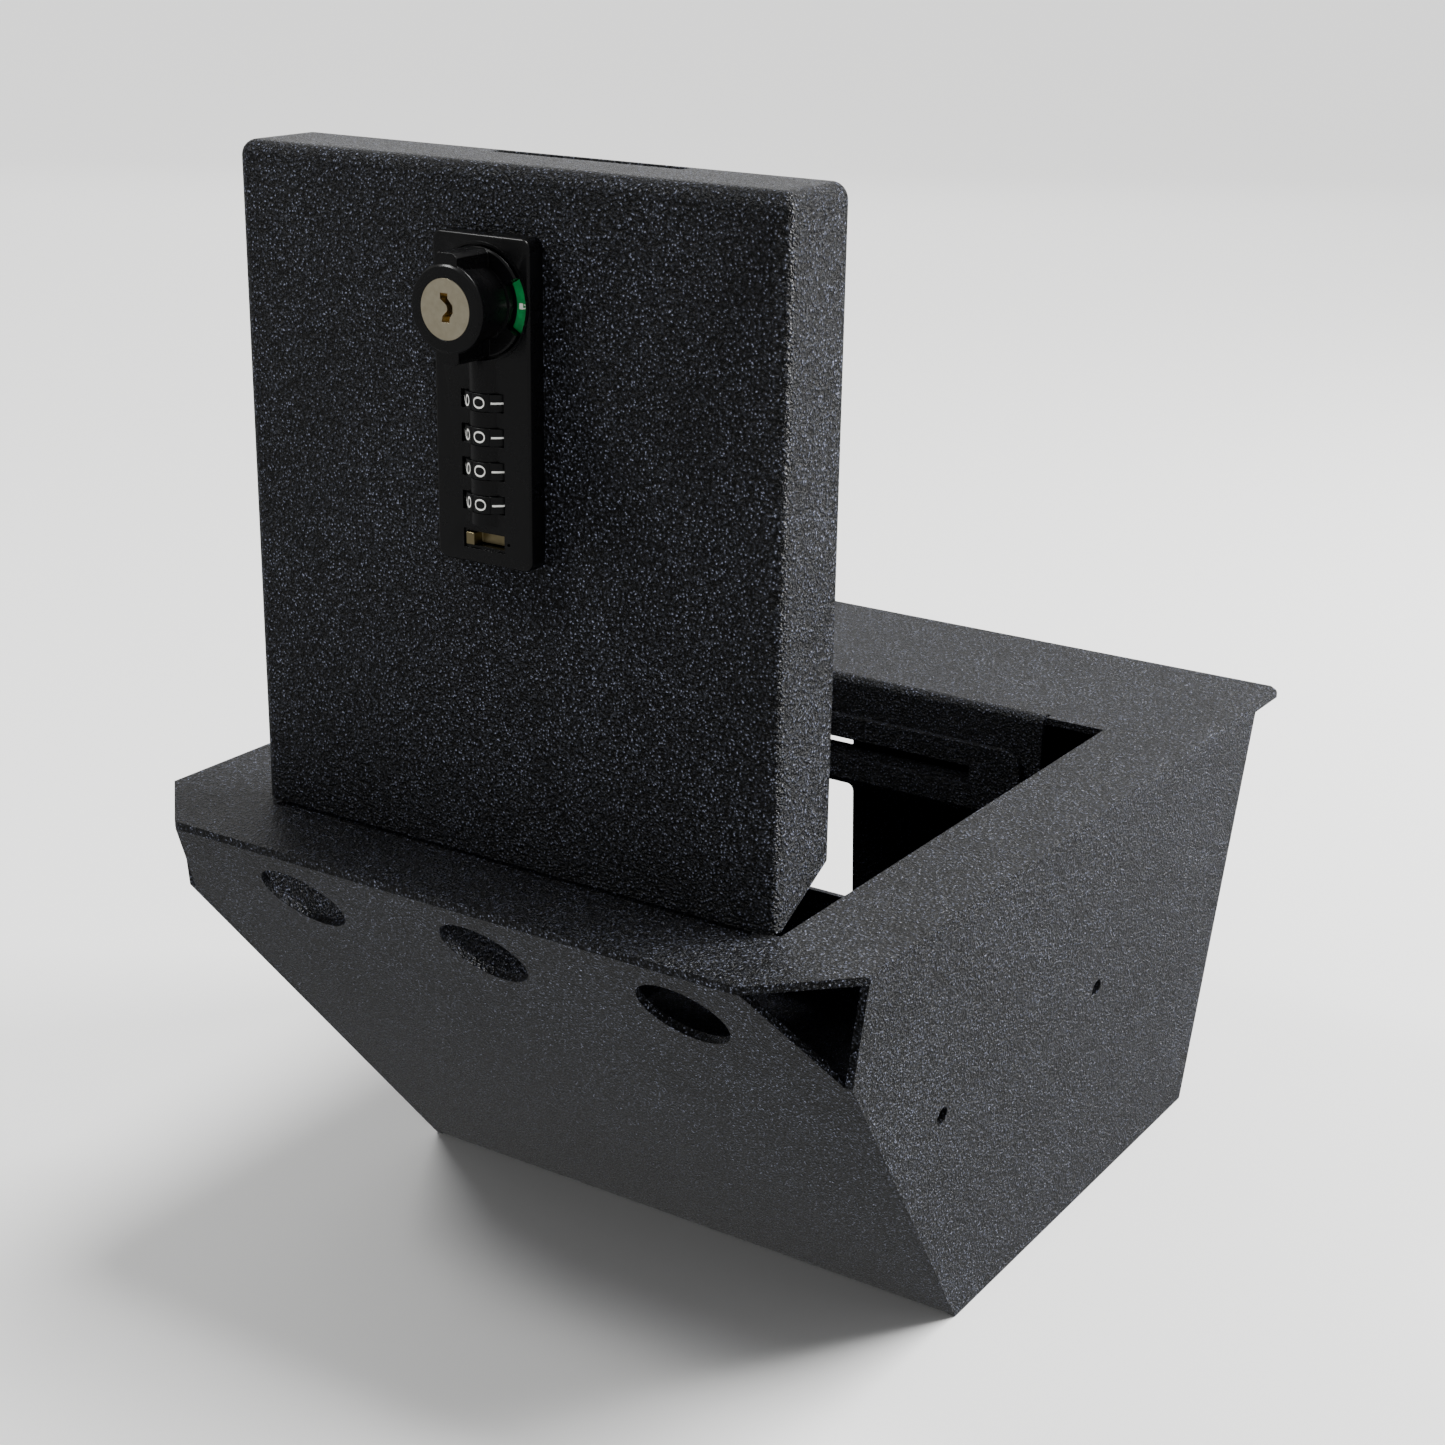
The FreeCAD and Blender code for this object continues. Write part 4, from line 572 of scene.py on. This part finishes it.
rounded("hinge_leaf_body", "hinge_leaf_on_lip", 0.12, powder_coat, "box")
rounded("hinge_leaf_lid", "hinge_leaf_on_lid", 0.12, powder_coat, "lid")
RIVET_RADIUS = 2.3 * MM
RIVET_HEIGHT = 0.8 * MM
RIVET_PITCH = 38 * MM
LEAF_THICKNESS = 1.2 * MM
SHEET_AND_LEAF = 3.9 * MM
rivets_x = [RIVET_PITCH * place for place in (-2, -1, 0, 1, 2)]
lip_leaf_low = Vector(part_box("hinge_leaf_body")[0])
lid_leaf_high = Vector(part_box("hinge_leaf_lid")[1])
lid_front = Vector(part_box("lid_pan")[0]).y
lip_face, lip_row = lip_leaf_low.y + LEAF_THICKNESS, lip_leaf_low.z + 5.5 * MM
lid_face, lid_row = lid_front + SHEET_AND_LEAF, lid_leaf_high.z - 6 * MM
lip_rivets = [dome(Vector((x, lip_face, lip_row)), RIVET_RADIUS, RIVET_HEIGHT, 1)
              for x in rivets_x]
lid_rivets = [dome(Vector((x, lid_face, lid_row)), RIVET_RADIUS, RIVET_HEIGHT, 1)
              for x in rivets_x]
as_piece("rivets_on_lip", from_bmesh(joined(lip_rivets), "rivets_on_lip"), powder_coat, "box")
as_piece("rivets_on_lid", from_bmesh(joined(lid_rivets), "rivets_on_lid"), powder_coat, "lid")


SCREW_HEAD_RADIUS = 2.7 * MM


def cross_screw(place):
    """A pan head with a cross recess, and its plain shank, facing the back."""
    head_height = 1.4 * MM
    shank_radius = 1.25 * MM
    shank_length = 10.0 * MM
    recess = (0.55 * MM, 1.6 * MM, 3.0 * MM)
    recess_turn = 20
    head = dome(Vector(place), SCREW_HEAD_RADIUS, head_height, 1, steps=32)
    wings = []
    for angle in (0, 90):
        bar = bmesh.new()
        bmesh.ops.create_cube(bar, size=1)
        bmesh.ops.scale(bar, verts=bar.verts, vec=recess)
        bmesh.ops.rotate(bar, verts=bar.verts, cent=(0, 0, 0),
                         matrix=Matrix.Rotation(math.radians(angle + recess_turn), 3, "Y"))
        bmesh.ops.translate(bar, verts=bar.verts, vec=Vector(place) + Vector((0, head_height, 0)))
        wings.append(bar)
    head = cut_away(head, *wings)
    shank = bmesh.new()
    bmesh.ops.create_cone(shank, cap_ends=True, segments=24, radius1=shank_radius,
                          radius2=shank_radius, depth=shank_length)
    bmesh.ops.rotate(shank, verts=shank.verts, cent=(0, 0, 0), matrix=FACING.to_3x3())
    bmesh.ops.translate(shank, verts=shank.verts,
                        vec=Vector(place) - Vector((0, shank_length / 2 + 0.1 * MM, 0)))
    return joined([head, shank])


screws_low, screws_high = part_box("case_screws")
case_back = Vector(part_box("lock_case")[1]).y
screws = [cross_screw((x, case_back, z))
          for x in (screws_low[0] + SCREW_HEAD_RADIUS, screws_high[0] - SCREW_HEAD_RADIUS)
          for z in (screws_low[2] + SCREW_HEAD_RADIUS, screws_high[2] - SCREW_HEAD_RADIUS)]
as_piece("cross_screws", from_bmesh(joined(screws), "cross_screws"), zinc, "lid", ("case_screws",))


def padlock_sign(centre):
    """A flat open padlock, 2.4 mm tall, lying in the label's plane and read from the right."""
    block_width, block_height = 1.7 * MM, 1.3 * MM
    leg_height = 0.5 * MM
    film = 0.05 * MM
    sign = bmesh.new()
    bmesh.ops.create_grid(sign, x_segments=1, y_segments=1, size=0.5,
                          matrix=Matrix.Diagonal((block_width, block_height, 1, 1)))
    inner = sign.verts.new((0.35 * MM, block_height / 2, 0))
    outer = sign.verts.new((0.7 * MM, block_height / 2, 0))
    start = sign.edges.new((inner, outer))
    leg = bmesh.ops.extrude_edge_only(sign, edges=[start])["geom"]
    moved = [item for item in leg if isinstance(item, bmesh.types.BMVert)]
    bmesh.ops.translate(sign, verts=moved, vec=(0, leg_height, 0))
    bow = [item for item in leg if isinstance(item, bmesh.types.BMEdge)]
    bow_centre = (0, block_height / 2 + leg_height, 0)
    bmesh.ops.spin(sign, geom=moved + bow, cent=bow_centre, axis=(0, 0, 1),
                   angle=math.radians(200), steps=14)
    bottom = bmesh.ops.extrude_face_region(sign, geom=sign.faces[:])["geom"]
    for item in bottom:
        if isinstance(item, bmesh.types.BMVert):
            item.co.z -= film
    bmesh.ops.rotate(sign, verts=sign.verts, cent=(0, 0, 0),
                     matrix=Matrix.Rotation(math.radians(-90), 3, "Z"))
    bmesh.ops.rotate(sign, verts=sign.verts, cent=(0, 0, 0), matrix=FACING.to_3x3())
    bmesh.ops.translate(sign, verts=sign.verts, vec=centre)
    bmesh.ops.recalc_face_normals(sign, faces=sign.faces)
    return sign


label_low, label_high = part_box("open_label")
sign_at = Vector((label_high[0] - 1.9 * MM, label_low[1] - 0.02 * MM, KNOB_AXIS.z))
as_piece("open_sign", from_bmesh(padlock_sign(sign_at), "open_sign"), white_ink, "lid")
print("hinge, screws and sign ready")

# %% [markdown]
# ## The detent's spring
# The frame holds the spring as a plain sleeve.  The real one is wire wound in a helix, which spin
# draws in one call: it turns the wire's round section about the axis and moves it on a little at
# each step.

# %% Coil spring
spring_low, spring_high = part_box("ball_spring")
WIRE = 0.22 * MM
COILS = 8
COIL_STEPS = 20
spring_axis = middle("ball_spring")
coil_radius = (spring_high[0] - spring_low[0]) / 2 - WIRE
travel = spring_high[1] - spring_low[1] - 2 * WIRE
coil = bmesh.new()
ring = bmesh.ops.create_circle(coil, segments=10, radius=WIRE)["verts"]
bmesh.ops.translate(coil, verts=ring, vec=(coil_radius, 0, 0))
steps = COILS * COIL_STEPS
bmesh.ops.spin(coil, geom=ring + coil.edges[:], cent=(0, 0, 0), axis=(0, 1, 0),
               angle=math.tau * COILS, steps=steps, dvec=(0, travel / steps, 0))
bmesh.ops.holes_fill(coil, edges=[item for item in coil.edges if item.is_boundary], sides=0)
bmesh.ops.recalc_face_normals(coil, faces=coil.faces)
bmesh.ops.translate(coil, verts=coil.verts,
                    vec=(spring_axis.x, spring_low[1] + WIRE, spring_axis.z))
as_piece("detent_coil", from_bmesh(coil, "detent_coil"), steel, "lid", ("ball_spring",))
print("spring length", round((travel + 2 * WIRE) / MM, 2), "mm")

# %% [markdown]
# ## Stage, light and camera
# A black object is drawn by what it reflects.  A soft sun, high at the right rear, gives the floor
# its brightness and the top faces their sheen.  A low square softbox at the right rear lights the
# lid's edge and the right side, a small one high at the front left puts highlights on the lock, and
# a wide one behind fills the flange.  The floor is kept out of reflections: mirrored in the upright
# faces at a low angle, it would turn the black coat grey.

# %% Stage and light
def soft_box(name, place, target, width, height, power):
    """A rectangular area lamp, with sizes in metres and power in watts, that faces a point."""
    data = bpy.data.lights.new(name, "AREA")
    data.shape = "RECTANGLE"
    data.size = width
    data.size_y = height
    data.energy = power
    lamp = bpy.data.objects.new(name, data)
    bpy.context.scene.collection.objects.link(lamp)
    lamp.location = place
    lamp.rotation_euler = (Vector(target) - Vector(place)).to_track_quat("-Z", "Y").to_euler()


FLOOR_REACH = 40.0
ROOM_LIGHT = 0.34
SUN_STRENGTH = 4.2
SUN_SPREAD = math.radians(25)
SUN_FROM = Vector((0.3, 0.25, 1.0))

floor_shape = bmesh.new()
bmesh.ops.create_grid(floor_shape, x_segments=1, y_segments=1, size=FLOOR_REACH)
floor_mesh = from_bmesh(floor_shape, "floor")
paper, _, paper_surface = start_material("pale_paper", Roughness=0.9)
paper_surface.inputs["Base Color"].default_value = linear("#fdfdfc")
floor_mesh.materials.append(paper)
floor = bpy.data.objects.new("floor", floor_mesh)
bpy.context.scene.collection.objects.link(floor)
floor.visible_glossy = False

soft_box("side_box", (1.3, 1.4, 0.7), (0, 0, 0.25), 0.6, 0.6, 84)
soft_box("brow_box", (-0.9, -0.7, 1.7), (0, 0, 0.3), 0.4, 0.4, 15)
soft_box("rear_box", (-1.6, 2.4, 1.1), (0, 0, 0.2), 2.6, 1.4, 8)

daylight_data = bpy.data.lights.new("skylight", "SUN")
daylight_data.energy = SUN_STRENGTH
daylight_data.angle = SUN_SPREAD
daylight = bpy.data.objects.new("skylight", daylight_data)
daylight.rotation_euler = SUN_FROM.to_track_quat("Z", "Y").to_euler()
bpy.context.scene.collection.objects.link(daylight)

world = bpy.data.worlds.new("pale_room")
world.use_nodes = True
room = world.node_tree.nodes["Background"]
room.inputs["Color"].default_value = (1, 1, 1, 1)
room.inputs["Strength"].default_value = ROOM_LIGHT
bpy.context.scene.world = world

# %% Camera
CAMERA_AT = Vector((0.44469, -0.70422, 0.47578))
HEADING = -0.572
DIP = 0.337
ROLL = 0.017
forward = Vector((math.sin(HEADING), math.cos(HEADING), 0))
ahead = math.cos(DIP) * forward + Vector((0, 0, -math.sin(DIP)))
level = Vector((math.cos(HEADING), -math.sin(HEADING), 0))
upward = level.cross(ahead)
right = math.cos(ROLL) * level + math.sin(ROLL) * upward
up = -math.sin(ROLL) * level + math.cos(ROLL) * upward
turn = Matrix((right, up, -ahead)).transposed()
camera_data = bpy.data.cameras.new("camera")
camera_data.lens = 61.4
camera_data.sensor_width = 36
camera = bpy.data.objects.new("camera", camera_data)
camera.matrix_world = Matrix.Translation(CAMERA_AT) @ turn.to_4x4()
bpy.context.scene.collection.objects.link(camera)
bpy.context.scene.camera = camera

# %% Update the scene
bpy.context.view_layer.update()
